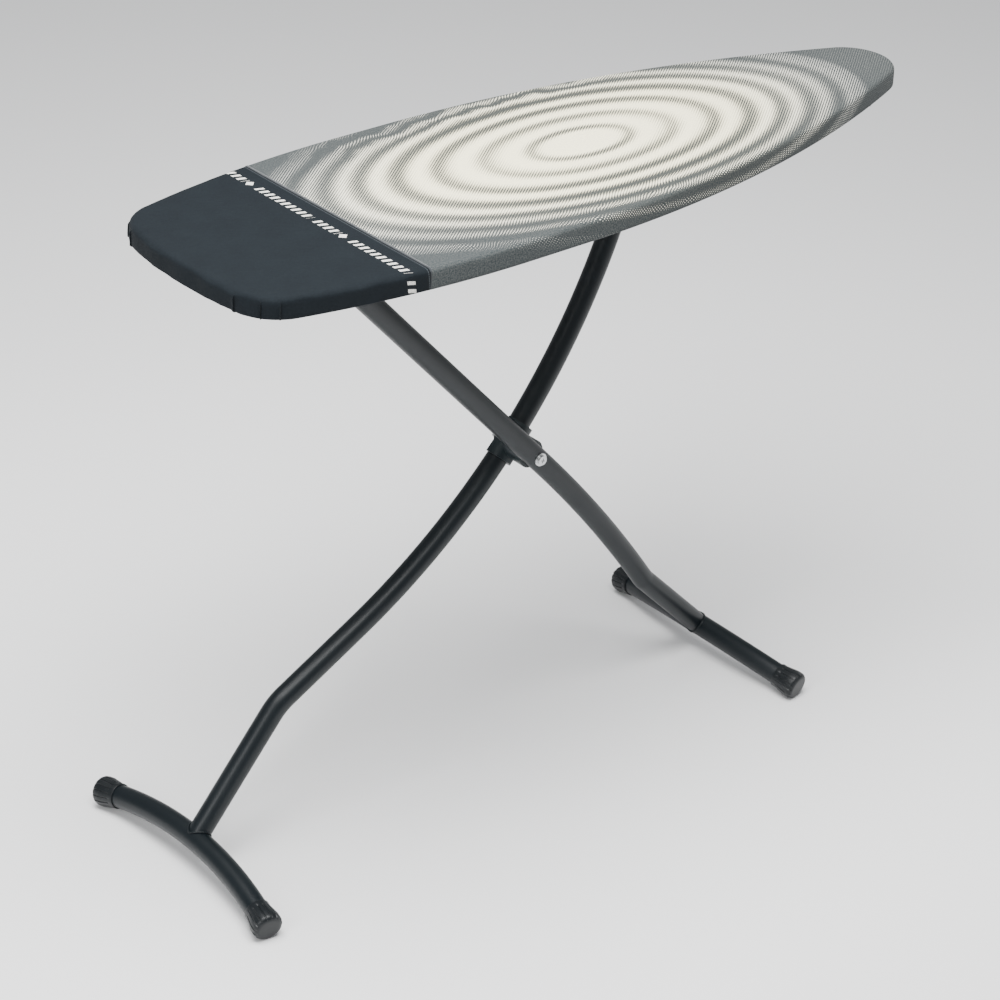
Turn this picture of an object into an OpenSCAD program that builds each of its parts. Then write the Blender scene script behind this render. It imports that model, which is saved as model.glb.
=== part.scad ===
// Folding ironing board on two crossed, curved single-tube legs.
// Frame of the part: X runs along the board towards the round nose, Y across it,
// Z up, with the floor at Z = 0 and the origin under the middle of the whole part.

/* [Board] */
// Length of the board over the cover
board_len = 1350; // [1200:5:1450]
// Width of the board over the cover
board_w = 448; // [360:2:500]
// Height of the ironing surface above the floor
board_h = 1000; // [920:5:1050]
// Radius of the bowed square end
end_r = 730; // [500:10:1200]
// Radius of the two corners at the square end
corner_r = 75; // [50:1:95]
// Radius of the side near the square end
side_end_r = 1590; // [1300:10:2200]
// Radius of the side towards the nose
side_nose_r = 2010; // [1700:10:2600]
// Radius of the nose
nose_r = 71; // [50:1:85]
// Distance of the cover's seam from the square end
heat_zone_len = 262; // [180:2:340]

/* [Cover and top] */
// Thickness of the cotton cover
cover_t = 1.2; // [0.8:0.1:2]
// Width of the hem that turns under the rim
hem_w = 24; // [15:1:40]
// Width of the tape along the seam
seam_w = 3; // [2:0.5:6]
// Thickness of the foam and felt pad
pad_t = 11; // [6:0.5:16]
// Thickness of the perforated steel top
mesh_t = 1.5; // [1:0.1:3]
// Height of the steel rim under the top
rim_h = 18; // [12:1:26]
// Width of the steel rim
rim_w = 15; // [10:1:24]
// Wall of the steel rim
rim_wall = 1.5; // [1:0.1:3]
// Spacing of the steam holes
steam_pitch = 40; // [36:1:70]
// Size of a steam hole across its corners
steam_hole = 24; // [12:1:30]

/* [Legs] */
// Outer diameter of the leg tubes
tube_d = 35; // [28:0.5:40]
// Wall of the leg tubes
tube_wall = 1.5; // [1:0.1:3]
// Height of the pivot where the legs cross
pivot_z = 516; // [480:2:540]
// Distance of that pivot from the middle of the board, towards the nose
pivot_x = -52; // [-80:2:-20]
// Distance from the middle plane to each leg at the pivot
pivot_y = 30; // [27:0.5:36]
// Slope of the front leg from its hinge down to the pivot, in degrees
front_slope = 46.9; // [44:0.1:50]
// Radius of the front leg's lower half
front_arc_r = 3172; // [2400:10:5000]
// Length of that curved lower half
front_arc_len = 408; // [360:2:430]
// Slope of the front leg's last straight piece, in degrees
front_end_slope = 45; // [43:0.5:50]
// Slope of the rear leg where it passes the pivot, in degrees
rear_slope = 45.9; // [44:0.1:48]
// Radius of the rear leg's long bow
rear_arc_r = 1124; // [1050:2:1300]
// Length of the bow below the pivot
rear_arc_len = 376; // [340:2:400]
// Length of the straight piece below the bow
rear_mid_len = 154; // [130:2:170]
// Slope of the rear leg's last straight piece, in degrees
rear_end_slope = 47.3; // [44:0.1:50]
// Radius of the short bend above the rear foot
rear_ankle_r = 98; // [70:2:140]
// Radius of the short bend above the front foot
front_ankle_r = 60; // [45:1:100]

/* [Feet] */
// Distance from the middle plane to the tip of a foot cap
foot_reach = 221; // [180:1:240]
// How far the foot bar is bowed up in its middle
foot_bow = 30; // [20:1:40]
// Largest radius of a foot cap
cap_r = 23.5; // [21:0.5:30]
// Length of a foot cap outside the tube's end
cap_len = 13; // [8:0.5:20]
// Length of the cap's collar on the tube
cap_collar = 30; // [18:1:45]
// Rounding of the cap's tip
cap_round = 8; // [4:0.5:10]
// Number of flutes round a cap
cap_flutes = 16; // [10:1:20]
// Depth of a flute
flute_depth = 1; // [0.5:0.1:1.6]

/* [Hinges] */
// Height of the front leg's hinge pin
hinge_z = 910; // [890:1:916]
// Height of the slide axle at the top of the rear leg
slide_z = 942; // [934:1:944]
// Diameter of the front leg's hinge pin
hinge_pin_d = 10; // [8:0.5:14]
// Diameter of the slide axle
axle_d = 12; // [8:0.5:14]
// Diameter of the pivot bolt
bolt_d = 10; // [8:0.5:12]
// Outer diameter of the welded cross sleeves
sleeve_d = 24; // [20:0.5:28]
// Length of the welded cross sleeves
sleeve_len = 42; // [36:1:50]
// Radial clearance of a turning fit
run_gap = 0.08; // [0.05:0.01:0.1]
// Gap between pieces that slide past each other
side_gap = 0.5; // [0.3:0.1:1]
// Thickness of the bracket plates
plate_t = 3; // [2:0.5:5]
// Length of the plastic block round the rear leg
saddle_len = 64; // [50:2:80]
// Wall of that block
saddle_wall = 6; // [4:0.5:8]
// Diameter of the round faces between the legs
boss_d = 46; // [36:1:52]

/* [Slide channel and lever] */
// Inner width of the slide channel
channel_w = 34; // [26:1:44]
// Wall of the slide channel
channel_wall = 2; // [1.5:0.5:3]
// Distance of the channel's front end from the nose
channel_nose_gap = 32; // [28:1:80]
// Room above and below the axle in its slot
slot_play = 8; // [7:0.5:10]
// Distance of the lever's pin from the slide axle
lever_arm = 168; // [140:2:200]
// Distance of the lever's grip from the middle plane
grip_y = 176; // [150:1:182]
// Diameter of the lever's grip
grip_d = 22; // [16:1:26]
// Length of the lever's grip
grip_len = 110; // [80:2:140]

/* [Hidden] */

$fn = 64;
tube_r = tube_d / 2;
paint = "#2b3036";
dark_steel = "#3a3f44";
zinc = "#b9bcbd";
black_plastic = "#15181a";
teal_plastic = "#16282c";
slate_cloth = "#3a434b";
print_cloth = "#b9b8ae";

// Levels of the stacked top, from the ironing surface down
pad_top = board_h - cover_t;
pad_bottom = pad_top - pad_t;
mesh_bottom = pad_bottom - mesh_t;
rim_bottom = mesh_bottom - rim_h;
cover_bottom = rim_bottom - cover_t;

// ---- leg geometry: every leg lies in a plane that leans out from its foot ----
foot_tube_r = tube_r + 0.5;
// Straight stretches lap over the arcs by this much, at a radius this much larger
lap = 0.5;
lap_step = 0.06;
cap_bore_r = foot_tube_r + lap_step;
sole_cut = 1;
foot_tip = cap_collar + 4;
foot_half = foot_reach - cap_len;
// The foot bar is an arc with a straight tip at each end for the cap
foot_end_a = 2 * atan(foot_bow / (foot_half + foot_tip));
foot_r = (foot_half - foot_tip * cos(foot_end_a)) / sin(foot_end_a);
// Depth of a cap's lowest point below the middle of the tube's end
function cap_drop(slope) =
    let (down = sin(foot_end_a) * sin(slope))
    (cap_r - cap_round) * sqrt(1 - down * down) + cap_round + down * (cap_len - cap_round);
function foot_mid_z(slope) = cap_drop(slope) - sole_cut + foot_bow * sin(slope);

// Lean of a leg's plane, from its foot in the middle plane to its offset at the pivot
rear_lean = atan(pivot_y / (pivot_z - foot_mid_z(rear_end_slope)));
front_lean = atan(pivot_y / (pivot_z - foot_mid_z(front_end_slope)));

// Front leg in its own plane as [x, v] from the pivot, downwards
front_start = boss_d / 2 + 7;
front_low_slope = front_slope + front_arc_len / front_arc_r * 180 / PI;
// The tube stays straight through the pivot's saddle, and its arc starts below it
front_bow_r = front_arc_r * (front_arc_len - front_start) / front_arc_len;
front_a = front_start * [cos(front_slope), -sin(front_slope)]
    + front_bow_r * [sin(front_low_slope) - sin(front_slope),
                     cos(front_low_slope) - cos(front_slope)];
front_mid_len = 12;
front_m = front_a + front_mid_len * [cos(front_low_slope), -sin(front_low_slope)];
front_b = front_m + front_ankle_r * [sin(front_low_slope) - sin(front_end_slope),
                                     cos(front_low_slope) - cos(front_end_slope)];
front_foot_v = -(pivot_z - foot_mid_z(front_end_slope)) / cos(front_lean);
front_end_len = (front_b[1] - front_foot_v) / sin(front_end_slope);
front_foot = front_b + front_end_len * [cos(front_end_slope), -sin(front_end_slope)];
front_top_v = (hinge_z - pivot_z) / cos(front_lean);
front_top_len = front_top_v / sin(front_slope);
front_top = [-front_top_len * cos(front_slope), front_top_v];

// Rear leg in its own plane, downwards
rear_low_slope = rear_slope - rear_arc_len / rear_arc_r * 180 / PI;
rear_a = rear_arc_r * [sin(rear_low_slope) - sin(rear_slope),
                       cos(rear_slope) - cos(rear_low_slope)];
rear_b = rear_a - rear_mid_len * [cos(rear_low_slope), sin(rear_low_slope)];
rear_c = rear_b + rear_ankle_r * [sin(rear_low_slope) - sin(rear_end_slope),
                                  cos(rear_end_slope) - cos(rear_low_slope)];
rear_foot_v = -(pivot_z - foot_mid_z(rear_end_slope)) / cos(rear_lean);
rear_end_len = (rear_c[1] - rear_foot_v) / sin(rear_end_slope);
rear_foot = rear_c - rear_end_len * [cos(rear_end_slope), sin(rear_end_slope)];
rear_top_v = (slide_z - pivot_z) / cos(rear_lean);
rear_top_slope = acos(cos(rear_slope) - rear_top_v / rear_arc_r);
rear_top = [rear_arc_r * (sin(rear_top_slope) - sin(rear_slope)), rear_top_v];
// How far a leg tube runs on past its cross sleeve
tube_past = sleeve_d / 2 + 3;

// The two moving tops, measured from the middle of the board
hinge_x = pivot_x + front_top[0];
hinge_y = -(pivot_y + front_top_v * sin(front_lean));
slide_x = pivot_x + rear_top[0];
slide_y = pivot_y + rear_top_v * sin(rear_lean);

// Shift that puts the origin under the middle of the whole part
foot_left = pivot_x + rear_foot[0] - foot_bow * cos(rear_end_slope)
    - sin(foot_end_a) * cos(rear_end_slope) * (cap_len - cap_round)
    - (cap_r - cap_round) * sqrt(1 - pow(sin(foot_end_a) * cos(rear_end_slope), 2)) - cap_round;
shift_x = -(min(foot_left, -board_len / 2) + board_len / 2) / 2;

// ---- outline of the board, as an offset of its arcs ----
side_end_x = -242 * board_len / 1350;
nose_c = [board_len / 2 - nose_r, 0];
side_nose_c = [nose_c[0] - sqrt(pow(side_nose_r - nose_r, 2) - pow(side_nose_r - board_w / 2, 2)),
               board_w / 2 - side_nose_r];
side_end_c = [min(side_end_x, side_nose_c[0]), board_w / 2 - side_end_r];
end_c = [end_r - board_len / 2, 0];
// Centre of the corner arc, which touches the side and the end from inside
corner_d = norm(end_c - side_end_c);
corner_k = (pow(side_end_r - corner_r, 2) - pow(end_r - corner_r, 2) + corner_d * corner_d)
    / (2 * corner_d);
corner_u = (end_c - side_end_c) / corner_d;
corner_n = [-corner_u[1], corner_u[0]];
corner_h = sqrt(pow(side_end_r - corner_r, 2) - corner_k * corner_k);
corner_1 = side_end_c + corner_u * corner_k + corner_n * corner_h;
corner_2 = side_end_c + corner_u * corner_k - corner_n * corner_h;
corner_c = corner_1[0] < corner_2[0] ? corner_1 : corner_2;
function turn(v) = (atan2(v[1], v[0]) + 360) % 360;
function arc_pts(c, r, a, b, n) =
    [for (i = [0:n]) c + r * [cos(a + (b - a) * i / n), sin(a + (b - a) * i / n)]];
nose_a = turn(nose_c - side_nose_c);
corner_a = turn(corner_c - side_end_c);
corner_b = turn(corner_c - end_c);
function half_outline(inset) = concat(
    arc_pts(nose_c, nose_r - inset, 0, nose_a, 9),
    arc_pts(side_nose_c, side_nose_r - inset, nose_a, 90, 16),
    arc_pts(side_end_c, side_end_r - inset, 90, corner_a, 11),
    [for (p = arc_pts(corner_c, corner_r - inset, corner_a, corner_b, 9)) if (norm(p) > 0) p],
    arc_pts(end_c, end_r - inset, corner_b, 180, 5));
function clean(list) = [for (i = [0:len(list) - 1])
    if (i == 0 || norm(list[i] - list[i - 1]) > 0.05) list[i]];
function full_outline(inset) =
    let (half = clean(half_outline(inset)), n = len(half))
    concat(half, [for (i = [n - 2:-1:1]) [half[i][0], -half[i][1]]]);
// Half width of the board at x, measured along the outline's side arcs
function half_width(x) = x > side_nose_c[0]
    ? side_nose_c[1] + sqrt(pow(side_nose_r, 2) - pow(x - side_nose_c[0], 2))
    : side_end_c[1] + sqrt(pow(side_end_r, 2) - pow(min(0, x - side_end_c[0]), 2));
seam_x = heat_zone_len - board_len / 2;

// ---- the pieces that the axle and the lever run in ----
channel_half = channel_w / 2 + channel_wall;
channel_x0 = slide_x - 56;
channel_x1 = board_len / 2 - channel_nose_gap;
slot_half = axle_d / 2 + slot_play;
channel_bottom = slide_z - slot_half - 5;
lever_x = slide_x - lever_arm;
lever_z = slide_z + 6;
rod_r = 5;
latch_in = channel_half + side_gap + plate_t + 2;
latch_out = latch_in + plate_t;
bear_far = grip_y - 17;
latch_top = slide_z - axle_d / 2 - slot_play;
tooth = 9;
tooth_pitch = 30;
tooth_count = 5;
bracket_half = sleeve_len / 2 + side_gap + 2;
bracket_outer = bracket_half + plate_t;
rivet_r = 2.5;
front_flat = pivot_y + tube_r - 0.6;
bush_r = bolt_d / 2 + 3;
rear_face = pivot_y + tube_r + 2;

module board_slab(inset, z0, z1) {
    translate([0, 0, z0])
        linear_extrude(z1 - z0)
            polygon(full_outline(inset));
}

// Keeps the part of a solid on one side of the seam
module behind_seam(gap) {
    intersection() {
        children();
        translate([-board_len, -board_w, 0])
            cube([board_len + seam_x - gap, 2 * board_w, board_h + 10]);
    }
}
module before_seam(gap) {
    intersection() {
        children();
        translate([seam_x + gap, -board_w, 0])
            cube([board_len * 2, 2 * board_w, board_h + 10]);
    }
}

// The sewn cover: top, side and the hem that turns under the rim
module cover_shell() {
    difference() {
        board_slab(0, cover_bottom, board_h);
        board_slab(cover_t, rim_bottom, pad_top);
        board_slab(hem_w, cover_bottom - 1, rim_bottom + 1);
    }
}

module cover_main() {
    color(print_cloth) translate([shift_x, 0, 0])
        before_seam(seam_w / 2) cover_shell();
}

module cover_heat_zone() {
    color(slate_cloth) translate([shift_x, 0, 0])
        behind_seam(seam_w / 2) cover_shell();
}

module seam_tape() {
    color("#20272c") translate([shift_x, 0, 0])
        intersection() {
            cover_shell();
            translate([seam_x - seam_w / 2, -board_w, 0])
                cube([seam_w, 2 * board_w, board_h + 10]);
        }
}

module foam_pad() {
    color("#d8d4c6") translate([shift_x, 0, 0])
        board_slab(cover_t, pad_bottom, pad_top);
}

module top_plate() {
    rows = floor((board_w / 2 - rim_w - steam_hole) / (steam_pitch * 0.87));
    cols = floor(board_len / 2 / steam_pitch);
    color(zinc) translate([shift_x, 0, mesh_bottom])
        linear_extrude(mesh_t)
            difference() {
                polygon(full_outline(cover_t));
                for (row = [-rows:rows]) {
                    for (col = [-cols:cols]) {
                        x = (col + (row % 2 == 0 ? 0 : 0.5)) * steam_pitch;
                        y = row * steam_pitch * 0.87;
                        reach = abs(y) + steam_hole / 2 + rim_w + 8;
                        room = reach < min(half_width(x - steam_hole), half_width(x + steam_hole));
                        ends = x > -board_len / 2 + 60 && x < board_len / 2 - 70;
                        clear = abs(y) > channel_half + steam_hole / 2 || x < channel_x0 - steam_hole;
                        if (room && ends && clear)
                            translate([x, y]) circle(d = steam_hole, $fn = 6);
                    }
                }
            }
}

module rim_frame() {
    color(dark_steel) translate([shift_x, 0, 0])
        difference() {
            board_slab(cover_t, rim_bottom, mesh_bottom);
            board_slab(cover_t + rim_w, rim_bottom - 1, mesh_bottom + 1);
            difference() {
                board_slab(cover_t + rim_wall, rim_bottom + rim_wall, mesh_bottom - rim_wall);
                board_slab(cover_t + rim_w - rim_wall, rim_bottom - 1, mesh_bottom + 1);
            }
        }
}

// A flat brace that spans the inside of the rim, just under the top plate
module brace(x, w) {
    intersection() {
        board_slab(cover_t + rim_w, mesh_bottom - plate_t, mesh_bottom);
        translate([x - w / 2, -board_w, 0])
            cube([w, 2 * board_w, board_h]);
    }
}

// Clears the slide channel out of a brace
module channel_room() {
    translate([channel_x0, -channel_half, channel_bottom])
        cube([channel_x1 - channel_x0, 2 * channel_half, mesh_bottom - channel_bottom]);
}

// Four upright rivets round a place under the top
module rivet_shanks(x, y, dx, dy, r, z0, z1) {
    for (sx = [-1, 1]) {
        for (sy = [-1, 1])
            translate([x + sx * dx, y + sy * dy, z0]) cylinder(h = z1 - z0, r = r, $fn = 32);
    }
}
module bracket_rivet_shanks(r, z0, z1) {
    rivet_shanks(hinge_x, hinge_y, 18, bracket_outer + 8, r, z0, z1);
}

module end_brace() {
    color(dark_steel) translate([shift_x, 0, 0])
        difference() {
            brace(hinge_x, 60);
            bracket_rivet_shanks(rivet_r, 0, mesh_bottom + 1);
        }
}

module middle_brace() {
    color(dark_steel) translate([shift_x, 0, 0])
        brace(lever_x - 20, 90);
}

module nose_brace() {
    color(dark_steel) translate([shift_x, 0, 0])
        difference() {
            brace(slide_x + 210, 60);
            translate([0, 0, -1]) channel_room();
            translate([0, 0, 1]) channel_room();
        }
}

module slide_channel() {
    slot_x0 = slide_x - axle_d;
    slot_x1 = channel_x1 - axle_d;
    color(dark_steel) translate([shift_x, 0, 0])
        difference() {
            channel_room();
            translate([channel_x0 - 1, -channel_w / 2, channel_bottom - 1])
                cube([channel_x1 - channel_x0 + 2, channel_w,
                      mesh_bottom - channel_wall - channel_bottom + 1]);
            translate([slot_x0, -channel_half - 1, slide_z - slot_half])
                cube([slot_x1 - slot_x0, 2 * channel_half + 2, 2 * slot_half]);
        }
}

// Two cheeks and a riveted bridge that hold the front leg's hinge pin
module leg_bracket() {
    top = mesh_bottom - plate_t;
    wide = 56;
    color(dark_steel) translate([shift_x, 0, 0])
        difference() {
            translate([hinge_x, hinge_y, 0])
                union() {
                    translate([-wide / 2, -bracket_outer, hinge_z])
                        cube([wide, 2 * bracket_outer, top - hinge_z]);
                    translate([0, bracket_outer, hinge_z]) rotate([90, 0, 0])
                        cylinder(h = 2 * bracket_outer, d = wide - 20);
                    translate([-wide / 2, -bracket_outer - 16, top - plate_t])
                        cube([wide, 2 * bracket_outer + 32, plate_t]);
                }
            translate([hinge_x - wide, hinge_y - bracket_half, hinge_z - 60])
                cube([2 * wide, 2 * bracket_half, top - plate_t - hinge_z + 60]);
            translate([hinge_x, hinge_y + bracket_outer + 1, hinge_z]) rotate([90, 0, 0])
                cylinder(h = 2 * bracket_outer + 2, r = hinge_pin_d / 2 + run_gap);
            bracket_rivet_shanks(rivet_r, 0, top + 1);
        }
}

// A headed pin along Y, its head on the near side
module headed_pin(r, y0, y1, head_r, head_t) {
    translate([0, y1, 0]) rotate([90, 0, 0])
        cylinder(h = y1 - y0, r = r);
    translate([0, y0, 0]) rotate([90, 0, 0])
        cylinder(h = head_t, r = head_r);
}

// A ring along Y between two places
module y_ring(y0, y1, r, bore_r) {
    translate([0, y1, 0]) rotate([90, 0, 0])
        difference() {
            cylinder(h = y1 - y0, r = r);
            translate([0, 0, -1]) cylinder(h = y1 - y0 + 2, r = bore_r);
        }
}

module y_nut(y0, y1, across, bore_r) {
    translate([0, y1, 0]) rotate([90, 0, 0])
        difference() {
            cylinder(h = y1 - y0, d = across, $fn = 6);
            translate([0, 0, -1]) cylinder(h = y1 - y0 + 2, r = bore_r);
        }
}

module hinge_place() {
    translate([shift_x + hinge_x, hinge_y, hinge_z]) children();
}

module hinge_pin() {
    color(zinc) hinge_place()
        headed_pin(hinge_pin_d / 2, -bracket_outer, bracket_outer + 9, hinge_pin_d / 2 + 4, 4);
}

module hinge_nut() {
    color(zinc) hinge_place()
        y_nut(bracket_outer, bracket_outer + 8, hinge_pin_d + 10, hinge_pin_d / 2);
}

module hinge_bush_near() {
    color(black_plastic) hinge_place()
        y_ring(-bracket_half, -bracket_half + 2, sleeve_d / 2, hinge_pin_d / 2 + run_gap);
}

module hinge_bush_far() {
    color(black_plastic) hinge_place()
        y_ring(bracket_half - 2, bracket_half, sleeve_d / 2, hinge_pin_d / 2 + run_gap);
}

module bracket_rivets() {
    z = mesh_bottom - 2 * plate_t;
    color(zinc) translate([shift_x, 0, 0]) {
        bracket_rivet_shanks(rivet_r, z - 2, mesh_bottom);
        bracket_rivet_shanks(rivet_r + 2, z - 2, z);
    }
}

// ---- release lever: a rod across the board with a latch and a grip ----
module lever_place() {
    translate([shift_x + lever_x, 0, lever_z]) children();
}

module bearing(y0) {
    top = mesh_bottom - plate_t - lever_z;
    difference() {
        union() {
            translate([-12, y0, 0]) cube([24, plate_t, top]);
            translate([0, y0 + plate_t, 0]) rotate([90, 0, 0]) cylinder(h = plate_t, r = 12);
            translate([-24, y0 - 12, top - plate_t]) cube([36, 24 + plate_t, plate_t]);
        }
        translate([0, y0 + plate_t + 1, 0]) rotate([90, 0, 0])
            cylinder(h = plate_t + 2, r = rod_r + run_gap);
    }
}

module lever_bearing_near() {
    color(dark_steel) lever_place() bearing(-14);
}

module lever_bearing_far() {
    color(dark_steel) lever_place() bearing(bear_far);
}

module lever_rod() {
    color(zinc) lever_place()
        translate([0, grip_y + 3, 0]) rotate([90, 0, 0])
            cylinder(h = grip_y + 3 + latch_out, r = rod_r);
}

// Return spring wound on the rod, held by its bearing
module lever_spring() {
    coil_r = rod_r + 2.5;
    color(zinc) lever_place()
        translate([0, bear_far, 0]) rotate([90, 0, 0]) {
            rotate_extrude($fn = 48)
                for (i = [0:8])
                    translate([coil_r, 1 + i * 1.7]) circle(1, $fn = 16);
            translate([coil_r, 0, 8]) rotate([-90, 0, 0])
                cylinder(h = mesh_bottom - 2 * plate_t - lever_z, r = 1, $fn = 16);
        }
}

module latch_plate() {
    x0 = lever_arm - 34;
    teeth = [for (i = [0:tooth_count - 1], q = [0, 1])
        [x0 + (i + q * 0.8) * tooth_pitch,
         latch_top - lever_z - (q == 0 ? 0 : tooth)]];
    x1 = x0 + tooth_count * tooth_pitch;
    low = latch_top - lever_z - tooth - 9;
    color(dark_steel) lever_place()
        translate([0, -latch_in, 0]) rotate([90, 0, 0])
            difference() {
                union() {
                    cylinder(h = plate_t, r = 13);
                    linear_extrude(plate_t)
                        polygon(concat([[-10, -8], [0, 11], [20, 6], [x0 - 20, latch_top - lever_z]],
                            teeth, [[x1, latch_top - lever_z], [x1 + 8, latch_top - lever_z],
                            [x1 + 8, low], [40, low]]));
                }
                translate([0, 0, -1]) cylinder(h = plate_t + 2, r = rod_r);
            }
}

grip_x0 = -28 - grip_len;
module lever_arm_bar() {
    color(dark_steel) lever_place()
        difference() {
            union() {
                translate([grip_x0 + 8, grip_y - 3, -7]) cube([-grip_x0 - 8, 6, 14]);
                translate([0, grip_y + 3, 0]) rotate([90, 0, 0]) cylinder(h = 6, r = 11);
            }
            translate([0, grip_y + 4, 0]) rotate([90, 0, 0]) cylinder(h = 8, r = rod_r);
        }
}

module lever_grip() {
    color(black_plastic) lever_place()
        difference() {
            translate([grip_x0, grip_y, 0]) rotate([0, 90, 0])
                rotate_extrude()
                    polygon([[0, 0], [grip_d / 2 - 3, 0], [grip_d / 2, 3],
                             [grip_d / 2, grip_len - 3], [grip_d / 2 - 3, grip_len],
                             [0, grip_len]]);
            translate([grip_x0 + 8, grip_y - 3, -7]) cube([-grip_x0, 6, 14]);
        }
}

// ---- tubes that follow arcs and straights in the XZ plane ----
// Straight stretch from p along slope a, which laps over the arcs at its ends.
// Turn keeps the seam of every stretch on one side of the tube.
module straight(p, a, length, r, before = 0, after = 0, turn = 0) {
    translate([p[0], 0, p[1]]) rotate([0, 90 - a, 0]) rotate([0, 0, turn])
        translate([0, 0, -before])
            cylinder(h = length + before + after, r = r + lap_step);
}

// Arc stretch round c from angle a over a sweep
module bend(c, bend_r, a, sweep, r, turn = 0) {
    translate([c[0], 0, c[1]]) rotate([90, 0, 0]) rotate([0, 0, a])
        rotate_extrude(angle = sweep, $fn = 120)
            translate([bend_r, 0]) rotate(turn) circle(r);
}

// A leg's own plane, which leans out round its foot
module front_place() {
    translate([shift_x + pivot_x, -pivot_y, pivot_z]) rotate([front_lean, 0, 0]) children();
}
module rear_place() {
    translate([shift_x + pivot_x, pivot_y, pivot_z]) rotate([-rear_lean, 0, 0]) children();
}

module front_top_stretch(r, up) {
    straight([0, 0], 180 - front_slope, up, r, front_start + lap, 0);
}

module front_path(r, up) {
    front_top_stretch(r, up);
    bend(front_start * [cos(front_slope), -sin(front_slope)]
         - front_bow_r * [sin(front_slope), cos(front_slope)], front_bow_r,
         90 - front_low_slope, front_low_slope - front_slope, r);
    straight(front_a, -front_low_slope, front_mid_len, r, lap, lap, 180);
    bend(front_m + front_ankle_r * [sin(front_low_slope), cos(front_low_slope)], front_ankle_r,
         270 - front_low_slope, front_low_slope - front_end_slope, r, 180);
    straight(front_b, -front_end_slope, front_end_len, r, lap, 0, 180);
}

module rear_bow(r, up_slope) {
    bend(rear_arc_r * [-sin(rear_slope), cos(rear_slope)], rear_arc_r,
         rear_low_slope - 90, up_slope - rear_low_slope, r);
}

module rear_path(r, up_slope) {
    rear_bow(r, up_slope);
    straight(rear_b, rear_low_slope, rear_mid_len, r, lap, lap);
    bend(rear_b + rear_ankle_r * [sin(rear_low_slope), -cos(rear_low_slope)], rear_ankle_r,
         90 + rear_low_slope, rear_end_slope - rear_low_slope, r, 180);
    straight(rear_c, 180 + rear_end_slope, rear_end_len, r, lap, 0, 180);
}

// A foot's own frame: x across the board, y up along the leg, z square to both
module front_foot_place() {
    translate([shift_x + pivot_x + front_foot[0], 0, foot_mid_z(front_end_slope)])
        rotate([0, front_end_slope - 90, 0]) rotate([90, 0, 90]) children();
}
module rear_foot_place() {
    translate([shift_x + pivot_x + rear_foot[0], 0, foot_mid_z(rear_end_slope)])
        rotate([0, 90 - rear_end_slope, 0]) rotate([90, 0, 90]) children();
}

module foot_end(side) {
    translate([side * foot_half, -foot_bow, 0]) rotate([0, 0, -side * foot_end_a])
        rotate([0, side * 90, 0]) children();
}

module foot_bar(r) {
    translate([0, -foot_r, 0]) rotate([0, 0, 90 - foot_end_a])
        rotate_extrude(angle = 2 * foot_end_a, $fn = 120)
            translate([foot_r, 0]) circle(r);
    for (side = [-1, 1])
        foot_end(side)
            translate([0, 0, -foot_tip - lap]) cylinder(h = foot_tip + lap, r = r + lap_step);
}

module hollow_foot_bar() {
    difference() {
        foot_bar(foot_tube_r);
        foot_bar(foot_tube_r - tube_wall);
    }
}

// A cap whose groove takes the tube's end, with a flare, flutes and a rounded tip
module foot_cap() {
    tip = [for (i = [0:6]) [cap_r - cap_round + cap_round * cos(i * 15),
                            cap_len - cap_round + cap_round * sin(i * 15)]];
    difference() {
        rotate_extrude($fn = 96)
            polygon(concat([[0, -12], [cap_bore_r - tube_wall, -12], [cap_bore_r - tube_wall, 0],
                [cap_bore_r, 0], [cap_bore_r, -cap_collar], [cap_bore_r + 2, -cap_collar],
                [cap_bore_r + 2, -cap_collar + 8], [cap_r, -3]], tip, [[0, cap_len]]));
        for (i = [0:cap_flutes - 1])
            rotate([0, 0, (i + 0.5) * 360 / cap_flutes])
                translate([cap_r + 2.2 - flute_depth, 0, -cap_collar + 9])
                    cylinder(h = cap_collar + cap_len, r = 2.2, $fn = 24);
    }
}

module above_floor() {
    intersection() {
        children();
        translate([-board_len, -board_w, 0])
            cube([2 * board_len, 2 * board_w, board_h]);
    }
}

module front_cap(side) {
    color(black_plastic) above_floor() front_foot_place() foot_end(side) foot_cap();
}
module rear_cap(side) {
    color(black_plastic) above_floor() rear_foot_place() foot_end(side) foot_cap();
}
module front_cap_near() { front_cap(-1); }
module front_cap_far() { front_cap(1); }
module rear_cap_near() { rear_cap(-1); }
module rear_cap_far() { rear_cap(1); }

module front_foot_bar() {
    color(paint) front_foot_place() hollow_foot_bar();
}

module rear_foot_bar() {
    color(paint) rear_foot_place() hollow_foot_bar();
}

module y_hole(x, y, z, r) {
    translate([shift_x + x, y + 60, z]) rotate([90, 0, 0]) cylinder(h = 120, r = r);
}

// ---- front leg ----
module front_leg_tube() {
    color(paint)
        difference() {
            front_place() front_path(tube_r, front_top_len + tube_past);
            front_place() front_path(tube_r - tube_wall, front_top_len + tube_past);
            front_foot_place() foot_bar(foot_tube_r);
            y_hole(hinge_x, hinge_y, hinge_z, sleeve_d / 2);
            y_hole(pivot_x, -pivot_y, pivot_z, bolt_d / 2);
            translate([shift_x + pivot_x, -front_flat, pivot_z]) rotate([90, 0, 0])
                cylinder(h = 10, r = 14);
        }
}

module front_sleeve() {
    color(paint) hinge_place()
        y_ring(-sleeve_len / 2, sleeve_len / 2, sleeve_d / 2, hinge_pin_d / 2 + run_gap);
}

module pivot_place() {
    translate([shift_x + pivot_x, 0, pivot_z]) children();
}

module front_saddle() {
    color(black_plastic)
        difference() {
            pivot_place() y_ring(-pivot_y + 5, -side_gap / 2, boss_d / 2, bolt_d / 2);
            front_place() front_top_stretch(tube_r, 60);
        }
}

module pivot_washer() {
    color(zinc) pivot_place() y_ring(-front_flat - 2, -front_flat, 10.5, bolt_d / 2);
}

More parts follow.
